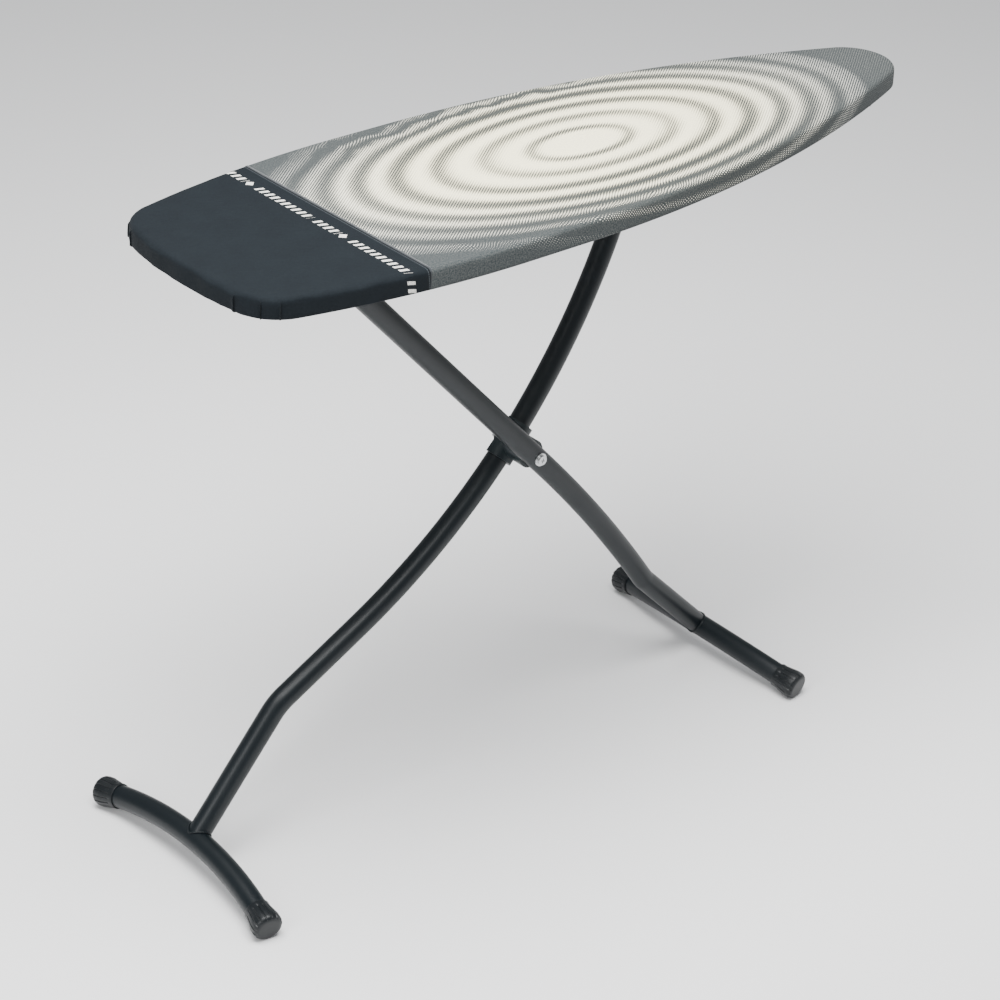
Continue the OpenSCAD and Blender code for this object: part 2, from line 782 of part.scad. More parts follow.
module pivot_bolt() {
    color(zinc) pivot_place()
        difference() {
            headed_pin(bolt_d / 2, -front_flat - 2, rear_face + side_gap + 9, 7.5, 4);
            for (a = [0, 90])
                translate([0, -front_flat - 4, 0]) rotate([0, a + 20, 0])
                    translate([-4, -4, -0.8]) cube([8, 4, 1.6]);
        }
}

module pivot_nut() {
    color(zinc) pivot_place()
        y_nut(rear_face + side_gap, rear_face + side_gap + 8, bolt_d + 9, bolt_d / 2);
}

// ---- rear leg ----
module rear_leg_tube() {
    past = tube_past / rear_arc_r * 180 / PI;
    color(paint)
        difference() {
            rear_place() rear_path(tube_r, rear_top_slope + past);
            rear_place() rear_path(tube_r - tube_wall, rear_top_slope + past);
            rear_foot_place() foot_bar(foot_tube_r);
            y_hole(slide_x, slide_y, slide_z, sleeve_d / 2);
            y_hole(pivot_x, pivot_y, pivot_z, bush_r);
        }
}

module rear_sleeve() {
    color(paint) translate([shift_x + slide_x, slide_y, slide_z])
        y_ring(-sleeve_len / 2, sleeve_len / 2, sleeve_d / 2, axle_d / 2 + run_gap);
}

module rear_saddle() {
    block_r = tube_r + saddle_wall;
    color(teal_plastic)
        difference() {
            union() {
                intersection() {
                    rear_place()
                        straight(-saddle_len / 2 * [cos(rear_slope), sin(rear_slope)],
                                 rear_slope, saddle_len, block_r);
                    translate([shift_x + pivot_x - 100, side_gap / 2, pivot_z - 100])
                        cube([200, pivot_y + 6, 200]);
                }
                pivot_place() y_ring(side_gap / 2, pivot_y, boss_d / 2, bush_r);
            }
            rear_place() rear_bow(tube_r, rear_slope + 6);
            y_hole(pivot_x, pivot_y, pivot_z, bush_r);
        }
}

module pivot_bush() {
    color(black_plastic)
        difference() {
            pivot_place() y_ring(side_gap / 2, rear_face, bush_r, bolt_d / 2 + run_gap);
        }
}

module pivot_flange() {
    color(black_plastic)
        difference() {
            pivot_place() y_ring(rear_face - 4, rear_face, bush_r + 5, bush_r);
            rear_place() rear_bow(tube_r, rear_slope + 6);
        }
}

// ---- carriage: the axle and what rides on it in the channel ----
module slide_place() {
    translate([shift_x + slide_x, 0, slide_z]) children();
}
sleeve_near = slide_y - sleeve_len / 2;
sleeve_far = slide_y + sleeve_len / 2;

module slide_axle() {
    color(zinc) slide_place()
        translate([0, sleeve_far + side_gap + 5, 0]) rotate([90, 0, 0])
            cylinder(h = sleeve_far + side_gap + 5 + latch_out + 3, r = axle_d / 2);
}

module glide_block() {
    color(black_plastic) slide_place()
        difference() {
            translate([-18, -channel_w / 2 + side_gap, -11])
                cube([36, channel_w - 2 * side_gap, 22]);
            translate([0, channel_w, 0]) rotate([90, 0, 0])
                cylinder(h = 2 * channel_w, r = axle_d / 2);
        }
}

module axle_spacer() {
    color(black_plastic) slide_place()
        y_ring(channel_half + side_gap, sleeve_near - side_gap, axle_d / 2 + 4, axle_d / 2);
}

module axle_clip_near() {
    color(zinc) slide_place()
        y_ring(-channel_half - side_gap - 2, -channel_half - side_gap, axle_d / 2 + 5, axle_d / 2);
}

module axle_clip_far() {
    color(zinc) slide_place()
        y_ring(sleeve_far + side_gap, sleeve_far + side_gap + 3, axle_d / 2 + 5, axle_d / 2);
}

cover_main();
cover_heat_zone();
seam_tape();
foam_pad();
top_plate();
rim_frame();
slide_channel();
end_brace();
middle_brace();
nose_brace();
leg_bracket();
bracket_rivets();
hinge_pin();
hinge_nut();
hinge_bush_near();
hinge_bush_far();
lever_bearing_near();
lever_bearing_far();
lever_spring();
front_leg_tube();
front_foot_bar();
front_cap_near();
front_cap_far();
front_sleeve();
front_saddle();
pivot_washer();
pivot_bolt();
pivot_nut();
rear_leg_tube();
rear_foot_bar();
rear_cap_near();
rear_cap_far();
rear_sleeve();
rear_saddle();
pivot_bush();
pivot_flange();
slide_axle();
glide_block();
axle_spacer();
axle_clip_near();
axle_clip_far();
lever_rod();
latch_plate();
lever_arm_bar();
lever_grip();
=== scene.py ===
import math
import bpy
import bmesh
from mathutils import Matrix, Vector, noise


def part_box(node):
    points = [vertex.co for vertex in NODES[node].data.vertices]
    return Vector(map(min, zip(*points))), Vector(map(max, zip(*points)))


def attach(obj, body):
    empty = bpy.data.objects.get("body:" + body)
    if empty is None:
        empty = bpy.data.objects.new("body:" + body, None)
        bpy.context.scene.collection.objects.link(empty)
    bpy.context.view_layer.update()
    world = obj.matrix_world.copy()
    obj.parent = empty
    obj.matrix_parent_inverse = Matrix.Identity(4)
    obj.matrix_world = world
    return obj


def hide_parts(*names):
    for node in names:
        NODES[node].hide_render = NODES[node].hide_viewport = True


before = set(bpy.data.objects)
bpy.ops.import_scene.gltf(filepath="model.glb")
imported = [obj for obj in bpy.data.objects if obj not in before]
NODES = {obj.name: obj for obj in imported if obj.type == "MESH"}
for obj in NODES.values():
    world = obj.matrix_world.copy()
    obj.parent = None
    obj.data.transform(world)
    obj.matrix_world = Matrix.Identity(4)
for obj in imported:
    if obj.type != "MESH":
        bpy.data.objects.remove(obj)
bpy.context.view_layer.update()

# ---------------------------------------------------------------- sizes, in metres
pad_low, pad_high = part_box("foam_pad")
MID_X = (pad_low.x + pad_high.x) / 2      # middle of the board along X
BOARD_LEN = 1.350
BOARD_W = 0.448
BOARD_H = 1.000
END_R = 0.730
CORNER_R = 0.075
SIDE_END_R = 1.590
SIDE_NOSE_R = 2.010
NOSE_R = 0.071
SIDE_END_X = -0.242
SEAM_X = 0.262 - BOARD_LEN / 2
COVER_BOTTOM = 0.9671
HEM_W = 0.024
CLOTH_T = 0.0012
TUBE_R = 0.0175
TUBE_WALL = 0.0015
PIVOT = Vector((MID_X - 0.052, 0.0, 0.516))
PIVOT_Y = 0.030
FRONT_SLOPE = 46.9
FRONT_START = 0.030
FRONT_ARC_R = 3.172
FRONT_ARC_LEN = 0.408
FRONT_END_SLOPE = 45.0
FRONT_ANKLE_R = 0.060
FRONT_MID_LEN = 0.012
REAR_SLOPE = 45.9
REAR_ARC_R = 1.124
REAR_ARC_LEN = 0.376
REAR_MID_LEN = 0.154
REAR_END_SLOPE = 47.3
REAR_ANKLE_R = 0.098
FOOT_R = 0.018
FOOT_REACH = 0.221
FOOT_BOW = 0.030
CAP_R = 0.0235
CAP_LEN = 0.013
CAP_COLLAR = 0.030
CAP_ROUND = 0.008
HINGE_Z = 0.910
SLIDE_Z = 0.942
TUBE_PAST = 0.015
RING_X = 0.042            # middle of the printed rings
ROW_X = SEAM_X - 0.033    # row of light strokes on the heat zone
ROW_REPEAT = 0.219
ROW_STEP = 0.0125


def sin(a):
    return math.sin(math.radians(a))


def cos(a):
    return math.cos(math.radians(a))


# ---------------------------------------------------------------- camera, light, floor
def add_camera():
    yaw, pitch, roll = (math.radians(a) for a in (49.22, 29.45, 2.25))
    look = Vector((math.cos(pitch) * math.cos(yaw), math.cos(pitch) * math.sin(yaw),
                   -math.sin(pitch)))
    right = Vector((math.sin(yaw), -math.cos(yaw), 0))
    up = right.cross(look)
    right_rolled = math.cos(roll) * right + math.sin(roll) * up
    up_rolled = -math.sin(roll) * right + math.cos(roll) * up
    data = bpy.data.cameras.new("camera")
    data.lens = 108.96
    data.sensor_width = 36.0
    camera = bpy.data.objects.new("camera", data)
    axes = Matrix((right_rolled, up_rolled, -look)).transposed().to_4x4()
    camera.matrix_world = Matrix.Translation((MID_X - 2.7475, -3.0812, 2.7334)) @ axes
    bpy.context.scene.collection.objects.link(camera)
    bpy.context.scene.camera = camera


def add_area_light(name, place, target, size, power, tint=(1, 1, 1)):
    data = bpy.data.lights.new(name, "AREA")
    data.shape = "RECTANGLE"
    data.size, data.size_y = size
    data.energy = power
    data.color = tint
    lamp = bpy.data.objects.new(name, data)
    lamp.location = place
    lamp.rotation_euler = (Vector(target) - Vector(place)).to_track_quat("-Z", "Y").to_euler()
    bpy.context.scene.collection.objects.link(lamp)


def add_studio():
    world = bpy.data.worlds.new("studio")
    bpy.context.scene.world = world
    world.use_nodes = True
    sky = world.node_tree.nodes["Background"]
    sky.inputs["Color"].default_value = (0.95, 0.97, 1.0, 1)
    sky.inputs["Strength"].default_value = 0.42
    add_area_light("overhead", (-0.6, -0.4, 3.4), (0, 0, 0.9), (2.6, 2.2), 300)
    add_area_light("left_window", (-3.4, -0.9, 1.9), (0, 0, 0.6), (1.0, 2.4), 60)
    add_area_light("right_fill", (2.2, -3.6, 1.6), (0, 0, 0.6), (0.8, 2.2), 14)
    bm = bmesh.new()
    bmesh.ops.create_grid(bm, x_segments=1, y_segments=1, size=14)
    mesh = bpy.data.meshes.new("floor")
    bm.to_mesh(mesh)
    bm.free()
    floor = bpy.data.objects.new("floor", mesh)
    bpy.context.scene.collection.objects.link(floor)
    paint = bpy.data.materials.new("floor_paper")
    paint.use_nodes = True
    shader = paint.node_tree.nodes["Principled BSDF"]
    shader.inputs["Base Color"].default_value = (0.90, 0.90, 0.90, 1)
    shader.inputs["Roughness"].default_value = 0.75
    mesh.materials.append(paint)


add_camera()
add_studio()


# ---------------------------------------------------------------- shader helpers
class Nodes:
    """Short calls for wiring one node tree."""

    def __init__(self, tree):
        self.tree = tree

    def new(self, kind, **values):
        node = self.tree.nodes.new(kind)
        for key, value in values.items():
            setattr(node, key, value)
        return node

    def set(self, socket, value):
        if isinstance(value, bpy.types.NodeSocket):
            self.tree.links.new(value, socket)
        elif isinstance(value, (tuple, list)) and len(value) == 3 and socket.type == "RGBA":
            socket.default_value = (*value, 1)
        else:
            socket.default_value = value

    def math(self, operation, a, b=None, c=None, clamp=False):
        node = self.new("ShaderNodeMath", operation=operation, use_clamp=clamp)
        for socket, value in zip(node.inputs, (a, b, c)):
            if value is not None:
                self.set(socket, value)
        return node.outputs[0]

    def mix(self, factor, a, b):
        node = self.new("ShaderNodeMix", data_type="RGBA")
        for i, value in zip((0, 6, 7), (factor, a, b)):
            self.set(node.inputs[i], value)
        return node.outputs[2]

    def shade(self, color, value):
        """The colour times a plain value."""
        gray = self.new("ShaderNodeCombineColor")
        for socket in gray.inputs:
            self.set(socket, value)
        node = self.new("ShaderNodeMix", data_type="RGBA", blend_type="MULTIPLY")
        for i, given in zip((0, 6, 7), (1.0, color, gray.outputs[0])):
            self.set(node.inputs[i], given)
        return node.outputs[2]

    def between(self, value, low, high, out_low=0.0, out_high=1.0):
        node = self.new("ShaderNodeMapRange", interpolation_type="SMOOTHSTEP")
        for socket, number in zip(node.inputs, (value, low, high, out_low, out_high)):
            self.set(socket, number)
        return node.outputs[0]

    def noise(self, place, scale, detail=2.0, rough=0.5):
        node = self.new("ShaderNodeTexNoise")
        self.set(node.inputs["Vector"], place)
        self.set(node.inputs["Scale"], scale)
        self.set(node.inputs["Detail"], detail)
        self.set(node.inputs["Roughness"], rough)
        return node.outputs["Fac"]

    def xyz(self, vector):
        return self.new_linked("ShaderNodeSeparateXYZ", vector).outputs

    def new_linked(self, kind, value, **values):
        node = self.new(kind, **values)
        self.set(node.inputs[0], value)
        return node

    def join(self, x, y, z=0.0):
        node = self.new("ShaderNodeCombineXYZ")
        for socket, value in zip(node.inputs, (x, y, z)):
            self.set(socket, value)
        return node.outputs[0]

    def bump(self, height, distance, strength=1.0, normal=None):
        node = self.new("ShaderNodeBump")
        self.set(node.inputs["Height"], height)
        self.set(node.inputs["Distance"], distance)
        self.set(node.inputs["Strength"], strength)
        if normal is not None:
            self.set(node.inputs["Normal"], normal)
        return node.outputs[0]

    def use(self, group, **values):
        node = self.new("ShaderNodeGroup")
        node.node_tree = group
        for key, value in values.items():
            self.set(node.inputs[key.replace("_", " ")], value)
        return node.outputs


def shader_group(name, inputs, outputs):
    """A node group with its named sockets; gives the tree, its inputs and its output node."""
    tree = bpy.data.node_groups.new(name, "ShaderNodeTree")
    for label, kind, value in inputs:
        socket = tree.interface.new_socket(label, in_out="INPUT", socket_type=kind)
        if value is not None:
            socket.default_value = value
    for label, kind in outputs:
        tree.interface.new_socket(label, in_out="OUTPUT", socket_type=kind)
    nodes = Nodes(tree)
    return tree, nodes, nodes.new("NodeGroupInput").outputs, nodes.new("NodeGroupOutput").inputs


VEC, NUM, COL = "NodeSocketVector", "NodeSocketFloat", "NodeSocketColor"


def weave_group():
    """Plain weave: over and under threads, with uneven thread thickness; its shade is painted shade
    in the gaps between the threads plus real uneven tone.
    """
    tree, n, given, out = shader_group(
        "woven_threads",
        [("Place", VEC, None), ("Pitch", NUM, 0.0009), ("Unevenness", NUM, 0.35)],
        [("Height", NUM), ("Shade", NUM)])
    x, y, _ = n.xyz(given["Place"])
    wander = n.noise(given["Place"], 260.0, 2.0)
    u = n.math("DIVIDE", x, given["Pitch"])
    v = n.math("DIVIDE", y, given["Pitch"])
    warp = n.math("ABSOLUTE", n.math("SINE", n.math("MULTIPLY", u, math.pi)))
    weft = n.math("ABSOLUTE", n.math("SINE", n.math("MULTIPLY", v, math.pi)))
    over = n.math("MULTIPLY", n.math("SINE", n.math("MULTIPLY", u, math.pi)),
                  n.math("SINE", n.math("MULTIPLY", v, math.pi)))
    side = n.between(over, -0.25, 0.25)
    height = n.math("ADD", n.math("MULTIPLY", warp, side),
                    n.math("MULTIPLY", weft, n.math("SUBTRACT", 1.0, side)))
    uneven = n.math("MULTIPLY", n.math("SUBTRACT", wander, 0.5), given["Unevenness"])
    n.set(out["Height"], n.math("ADD", height, uneven))
    # painted shade in the gaps between the threads, with real uneven tone on top
    n.set(out["Shade"], n.math("MULTIPLY_ADD", height, 0.22, n.math("ADD", 0.84, uneven)))
    return tree


def dust_group():
    """Faint mottling and dust, stronger on faces that look up."""
    tree, n, given, out = shader_group(
        "settled_dust",
        [("Color", COL, None), ("Amount", NUM, 0.1), ("Scale", NUM, 18.0)],
        [("Color", COL), ("Mask", NUM)])
    place = n.new("ShaderNodeTexCoord").outputs["Object"]
    cloud = n.between(n.noise(place, given["Scale"], 5.0, 0.62), 0.42, 0.75)
    specks = n.between(n.noise(place, 900.0, 1.0), 0.66, 0.74)
    normal_z = n.xyz(n.new("ShaderNodeNewGeometry").outputs["Normal"])[2]
    up = n.between(normal_z, 0.1, 0.9, 0.35, 1.0)
    mask = n.math("MULTIPLY", n.math("MULTIPLY", n.math("MAXIMUM", cloud, specks), up),
                  given["Amount"], clamp=True)
    n.set(out["Color"], n.mix(mask, given["Color"], (0.42, 0.42, 0.41)))
    n.set(out["Mask"], mask)
    return tree


def grain_group():
    """Orange peel of a powder coat or the spark grain of a moulding."""
    tree, n, given, out = shader_group(
        "fine_grain", [("Size", NUM, 0.0012), ("Depth", NUM, 0.00004), ("Wave", NUM, 0.3)],
        [("Height", NUM), ("Fleck", NUM)])
    place = n.new("ShaderNodeTexCoord").outputs["Object"]
    fine = n.noise(place, n.math("DIVIDE", 1.0, given["Size"]), 2.0, 0.6)
    broad = n.noise(place, n.math("DIVIDE", 0.12, given["Size"]), 1.0)
    n.set(out["Height"], n.math("MULTIPLY", n.math("MULTIPLY_ADD", broad, given["Wave"], fine),
                                given["Depth"]))
    n.set(out["Fleck"], n.between(fine, 0.3, 0.75))
    return tree


def wear_group():
    """Bare or rubbed edges, from the angle between the true and the rounded normal."""
    tree, n, given, out = shader_group(
        "rubbed_edges", [("Radius", NUM, 0.0012), ("Amount", NUM, 0.5)], [("Mask", NUM)])
    bevel = n.new("ShaderNodeBevel", samples=4)
    n.set(bevel.inputs["Radius"], given["Radius"])
    true_normal = n.new("ShaderNodeNewGeometry").outputs["Normal"]
    dot = n.new("ShaderNodeVectorMath", operation="DOT_PRODUCT")
    n.set(dot.inputs[0], bevel.outputs[0])
    n.set(dot.inputs[1], true_normal)
    place = n.new("ShaderNodeTexCoord").outputs["Object"]
    patchy = n.between(n.noise(place, 60.0, 4.0), 0.4, 0.65)
    edge = n.between(dot.outputs["Value"], 0.995, 0.93)
    n.set(out["Mask"], n.math("MULTIPLY", n.math("MULTIPLY", edge, patchy), given["Amount"]))
    return tree


WEAVE = weave_group()
DUST = dust_group()
GRAIN = grain_group()
WEAR = wear_group()


def new_material(name, roughness=0.5, metallic=0.0, **sockets):
    material = bpy.data.materials.new(name)
    material.use_nodes = True
    shader = material.node_tree.nodes["Principled BSDF"]
    shader.inputs["Roughness"].default_value = roughness
    shader.inputs["Metallic"].default_value = metallic
    for key, value in sockets.items():
        shader.inputs[key.replace("_", " ")].default_value = value
    return material, Nodes(material.node_tree), shader.inputs


def coated_metal(name, color, roughness, dust=0.12, worn=0.25, fleck=0.25):
    material, n, to = new_material(name, roughness, 0.0, Specular_IOR_Level=0.30)
    grain = n.use(GRAIN, Size=0.0011, Depth=0.00005, Wave=0.8)
    base = n.mix(n.math("MULTIPLY", grain["Fleck"], fleck), color,
                 tuple(c * 1.7 + 0.004 for c in color))
    dusty = n.use(DUST, Color=base, Amount=dust, Scale=9.0)
    edge = n.use(WEAR, Radius=0.0010, Amount=worn)
    n.set(to["Base Color"], n.mix(edge["Mask"], dusty["Color"], (0.20, 0.20, 0.20)))
    place = n.new("ShaderNodeTexCoord").outputs["Object"]
    drift = n.noise(place, 14.0, 3.0)
    n.set(to["Roughness"], n.math("ADD", n.math("MULTIPLY_ADD", drift, 0.10, roughness - 0.05),
                                  n.math("MULTIPLY", dusty["Mask"], 0.5)))
    n.set(to["Normal"], n.bump(grain["Height"], 1.0, 0.8))
    return material


def bare_metal(name, color, roughness, brushed=600.0):
    material, n, to = new_material(name, roughness, 1.0)
    place = n.new("ShaderNodeTexCoord").outputs["Object"]
    x, y, z = n.xyz(place)
    streaks = n.noise(n.join(n.math("MULTIPLY", x, 0.06), y, z), brushed, 3.0)
    cloud = n.noise(place, 45.0, 4.0, 0.6)
    tone = n.mix(cloud, tuple(c * 0.72 for c in color), color)
    dusty = n.use(DUST, Color=tone, Amount=0.10, Scale=30.0)
    n.set(to["Base Color"], dusty["Color"])
    n.set(to["Roughness"], n.math("MULTIPLY_ADD", streaks, 0.22, roughness - 0.08))
    n.set(to["Normal"], n.bump(n.math("MULTIPLY", streaks, 0.00003), 1.0, 0.5))
    return material


def moulded_plastic(name, color, roughness, dust=0.15):
    material, n, to = new_material(name, roughness, 0.0, Specular_IOR_Level=0.35)
    grain = n.use(GRAIN, Size=0.0007, Depth=0.00003, Wave=0.4)
    base = n.mix(n.math("MULTIPLY", grain["Fleck"], 0.35), color,
                 tuple(c * 1.8 + 0.002 for c in color))
    dusty = n.use(DUST, Color=base, Amount=dust, Scale=26.0)
    edge = n.use(WEAR, Radius=0.0008, Amount=0.35)
    n.set(to["Base Color"], n.mix(edge["Mask"], dusty["Color"], (0.10, 0.10, 0.10)))
    n.set(to["Roughness"], n.math("MULTIPLY_ADD", grain["Fleck"], 0.12, roughness))
    n.set(to["Normal"], n.bump(grain["Height"], 1.0, 0.7))
    return material


TUBE_PAINT = coated_metal("anthracite_powder_coat", (0.0024, 0.0050, 0.0068), 0.40, 0.006, 0.04, 0.10)
FRAME_PAINT = coated_metal("dark_frame_coat", (0.014, 0.017, 0.020), 0.45, 0.03, 0.3)
ZINC = bare_metal("zinc_plate", (0.62, 0.63, 0.63), 0.30)
SHEET_STEEL = bare_metal("galvanised_sheet", (0.50, 0.51, 0.52), 0.42, 240.0)
BLACK_PLASTIC = moulded_plastic("black_moulding", (0.0014, 0.0030, 0.0042), 0.36, 0.012)
SADDLE_PLASTIC = moulded_plastic("dark_teal_moulding", (0.003, 0.008, 0.010), 0.34, 0.05)


def halftone_print():
    """Cream cotton with grey rings printed in halftone dots, read from the flat cut."""
    material, n, to = new_material("printed_cotton", 0.86, 0.0, Sheen_Weight=0.03,
                                   Sheen_Roughness=0.5, Specular_IOR_Level=0.12)
    flat = n.new("ShaderNodeAttribute", attribute_name="cloth").outputs["Vector"]
    x, y, _ = n.xyz(flat)
    near = n.between(n.math("ABSOLUTE", y), 0.13, 0.225)
    sway = n.math("SUBTRACT", n.noise(n.join(n.math("MULTIPLY", x, 0.55), y), 13.0, 1.0), 0.5)
    ripple = n.math("SUBTRACT", n.noise(flat, 30.0, 1.0), 0.5)
    swell = n.math("MULTIPLY", near, n.math("MULTIPLY_ADD", ripple, 0.030,
                                            n.math("MULTIPLY", sway, 0.075)))
    across = n.math("SUBTRACT", x, RING_X)
    tall = n.math("MULTIPLY", n.math("ADD", y, n.math("MULTIPLY", swell, 0.5)), 1.99)
    square = n.math("ADD", n.math("MULTIPLY", across, across), n.math("MULTIPLY", tall, tall))
    reach = n.math("SQRT", square)
    reach = n.math("ADD", n.math("MULTIPLY_ADD", across, 0.022, reach), swell)
    rings = n.new("ShaderNodeValToRGB")
    n.set(rings.inputs[0], n.math("DIVIDE", reach, 0.62))
    ramp = rings.color_ramp
    ramp.interpolation = "EASE"
    stops = [(0.0, 0.0), (0.058, 0.0), (0.089, 0.62), (0.120, 0.0), (0.170, 0.58), (0.205, 0.03),
             (0.249, 0.70), (0.280, 0.14), (0.317, 0.78), (0.350, 0.32), (0.379, 0.80),
             (0.406, 0.48), (0.436, 0.86), (0.462, 0.64), (0.492, 0.95), (0.515, 0.76),
             (0.540, 0.82), (0.556, 1.0)]
    while len(ramp.elements) < len(stops):
        ramp.elements.new(0.5)
    for stop, (place, tone) in zip(ramp.elements, stops):
        stop.position = place / 0.62
        stop.color = (tone, tone, tone, 1)
    upright = n.math("DIVIDE", n.math("MULTIPLY", tall, tall),
                     n.math("ADD", square, 0.0004))
    tone = n.math("MULTIPLY", rings.outputs["Color"],
                  n.math("MULTIPLY_ADD", upright, 0.34, 0.92))
    # the dot screen: two crossed waves, turned and slightly stretched by the drawing
    turn, pitch = math.radians(38), 0.0038
    bend_x = n.math("ADD", x, n.math("MULTIPLY", swell, 0.6))
    u = n.math("ADD", n.math("MULTIPLY", bend_x, math.cos(turn) * 2 * math.pi / pitch),
               n.math("MULTIPLY", y, math.sin(turn) * 2 * math.pi / pitch))
    v = n.math("ADD", n.math("MULTIPLY", bend_x, -math.sin(turn) * 2 * math.pi / pitch),
               n.math("MULTIPLY", y, math.cos(turn) * 2 * math.pi / pitch))
    screen = n.math("MULTIPLY_ADD", n.math("ADD", n.math("COSINE", u), n.math("COSINE", v)),
                    0.25, 0.5)
    # tone 0 leaves no ink, tone 1 fills the screen
    edge = n.math("MULTIPLY_ADD", tone, -1.16, 1.08)
    gap = n.math("SUBTRACT", screen, edge)
    ink = n.between(gap, -0.14, 0.14)
    weave = n.use(WEAVE, Place=flat, Pitch=0.0010, Unevenness=0.3)
    patchy = n.noise(flat, 420.0, 3.0, 0.6)
    ink = n.math("MULTIPLY", ink, n.math("MULTIPLY_ADD", patchy, 0.18, 0.88), clamp=True)
    warm = n.between(reach, 0.26, 0.56)
    cotton = n.mix(warm, (0.98, 0.915, 0.64), (0.94, 0.93, 0.85))
    color = n.mix(ink, cotton, (0.024, 0.031, 0.034))
    # the weave's painted shade between the threads
    n.set(to["Base Color"], n.shade(color, weave["Shade"]))
    n.set(to["Roughness"], n.math("MULTIPLY_ADD", ink, -0.12, 0.90))
    slack = n.noise(flat, 38.0, 3.0)
    height = n.math("ADD", n.math("MULTIPLY", weave["Height"], 0.00010),
                    n.math("MULTIPLY", slack, 0.0006))
    n.set(to["Normal"], n.bump(height, 1.0, 0.6))
    return material


def heat_cloth():
    """Dark coated cloth with a row of plain light strokes and diamonds by the seam."""
    material, n, to = new_material("heat_zone_cloth", 0.82, 0.0, Sheen_Weight=0.02,
                                   Sheen_Roughness=0.45, Specular_IOR_Level=0.12)
    flat = n.new("ShaderNodeAttribute", attribute_name="cloth").outputs["Vector"]
    x, y, _ = n.xyz(flat)
    weave = n.use(WEAVE, Place=flat, Pitch=0.0013, Unevenness=0.5)
    cloud = n.noise(flat, 24.0, 5.0, 0.6)
    nap = n.noise(n.join(x, n.math("MULTIPLY", y, 3.0)), 420.0, 3.0, 0.7)
    dark = n.mix(cloud, (0.0036, 0.0056, 0.0076), (0.0068, 0.0098, 0.0126))
    dark = n.mix(n.between(nap, 0.45, 0.8, 0.0, 0.55), dark, (0.013, 0.017, 0.021))
    # the row of strokes runs across the board and on down its sides
    row = n.math("SUBTRACT", x, ROW_X)
    along = n.math("FLOORED_MODULO", n.math("ADD", y, 0.071), ROW_REPEAT)
    slant = n.math("MULTIPLY_ADD", row, 0.35, along)
    step = n.math("FLOORED_MODULO", slant, ROW_STEP)
    stroke = n.math("MULTIPLY", n.between(step, 0.0022, 0.0028),
                    n.between(step, 0.0086, 0.0080))
    first = n.math("MULTIPLY", n.between(slant, 0.0200, 0.0204), n.between(slant, 0.0706, 0.0702))
    second = n.math("MULTIPLY", n.between(slant, 0.0828, 0.0832), n.between(slant, 0.2078, 0.2074))
    body = n.between(n.math("ABSOLUTE", row), 0.0066, 0.0060)
    bars = n.math("MULTIPLY", n.math("MULTIPLY", stroke, n.math("MAXIMUM", first, second)),
                  body)
    gem = n.math("ADD", n.math("ABSOLUTE", row),
                 n.math("ABSOLUTE", n.math("SUBTRACT", along, 0.0095)))
    marks = n.math("MAXIMUM", bars, n.between(gem, 0.0078, 0.0070))
    worn = n.between(n.noise(flat, 700.0, 2.0), 0.30, 0.46)
    marks = n.math("MULTIPLY", marks, worn)
    # a stitched line just beside the seam
    line = n.between(n.math("ABSOLUTE", n.math("SUBTRACT", x, SEAM_X - 0.005)), 0.0007, 0.0004)
    dash = n.between(n.math("FLOORED_MODULO", y, 0.0034), 0.0007, 0.0011)
    stitch = n.math("MULTIPLY", line, dash)
    color = n.mix(marks, dark, (0.72, 0.71, 0.67))
    color = n.mix(n.math("MULTIPLY", stitch, 0.7), color, (0.085, 0.098, 0.108))
    # painted shade: the pleat slits at the corners darkened almost to black
    crease_shade = n.new("ShaderNodeAttribute", attribute_name="fold_shade").outputs["Fac"]
    color = n.mix(n.between(crease_shade, 0.15, 0.9, 0.0, 0.92), color, (0.002, 0.003, 0.004))
    # the weave's painted shade between the threads
    n.set(to["Base Color"], n.shade(color, weave["Shade"]))
    n.set(to["Roughness"], n.math("MULTIPLY_ADD", nap, 0.2, 0.72))
    height = n.math("ADD", n.math("MULTIPLY", weave["Height"], 0.00016),
                    n.math("MULTIPLY", n.noise(flat, 55.0, 4.0), 0.0012))
    height = n.math("ADD", height, n.math("MULTIPLY", stitch, 0.0003))
    n.set(to["Normal"], n.bump(height, 1.0, 0.7))
    return material


def plain_cloth(name, low, high, pitch, sheen=0.3):
    material, n, to = new_material(name, 0.85, 0.0, Sheen_Weight=sheen, Sheen_Roughness=0.5)
    place = n.new("ShaderNodeTexCoord").outputs["Object"]
    weave = n.use(WEAVE, Place=place, Pitch=pitch, Unevenness=0.6)
    cloud = n.noise(place, 60.0, 4.0, 0.6)
    # the weave's painted shade between the threads, under the real cloud tone
    mixed = n.mix(n.math("MULTIPLY", cloud, weave["Shade"]), low, high)
    n.set(to["Base Color"], mixed)
    n.set(to["Roughness"], n.math("MULTIPLY_ADD", cloud, 0.15, 0.78))
    n.set(to["Normal"], n.bump(n.math("MULTIPLY", weave["Height"], 0.0002), 1.0, 0.8))
    return material


PRINTED = halftone_print()
HEAT_CLOTH = heat_cloth()
SEAM_CLOTH = plain_cloth("seam_edging", (0.012, 0.015, 0.018), (0.035, 0.042, 0.048), 0.0008)
PAD_FELT = plain_cloth("pad_felt", (0.50, 0.48, 0.42), (0.70, 0.68, 0.61), 0.0021, 0.4)


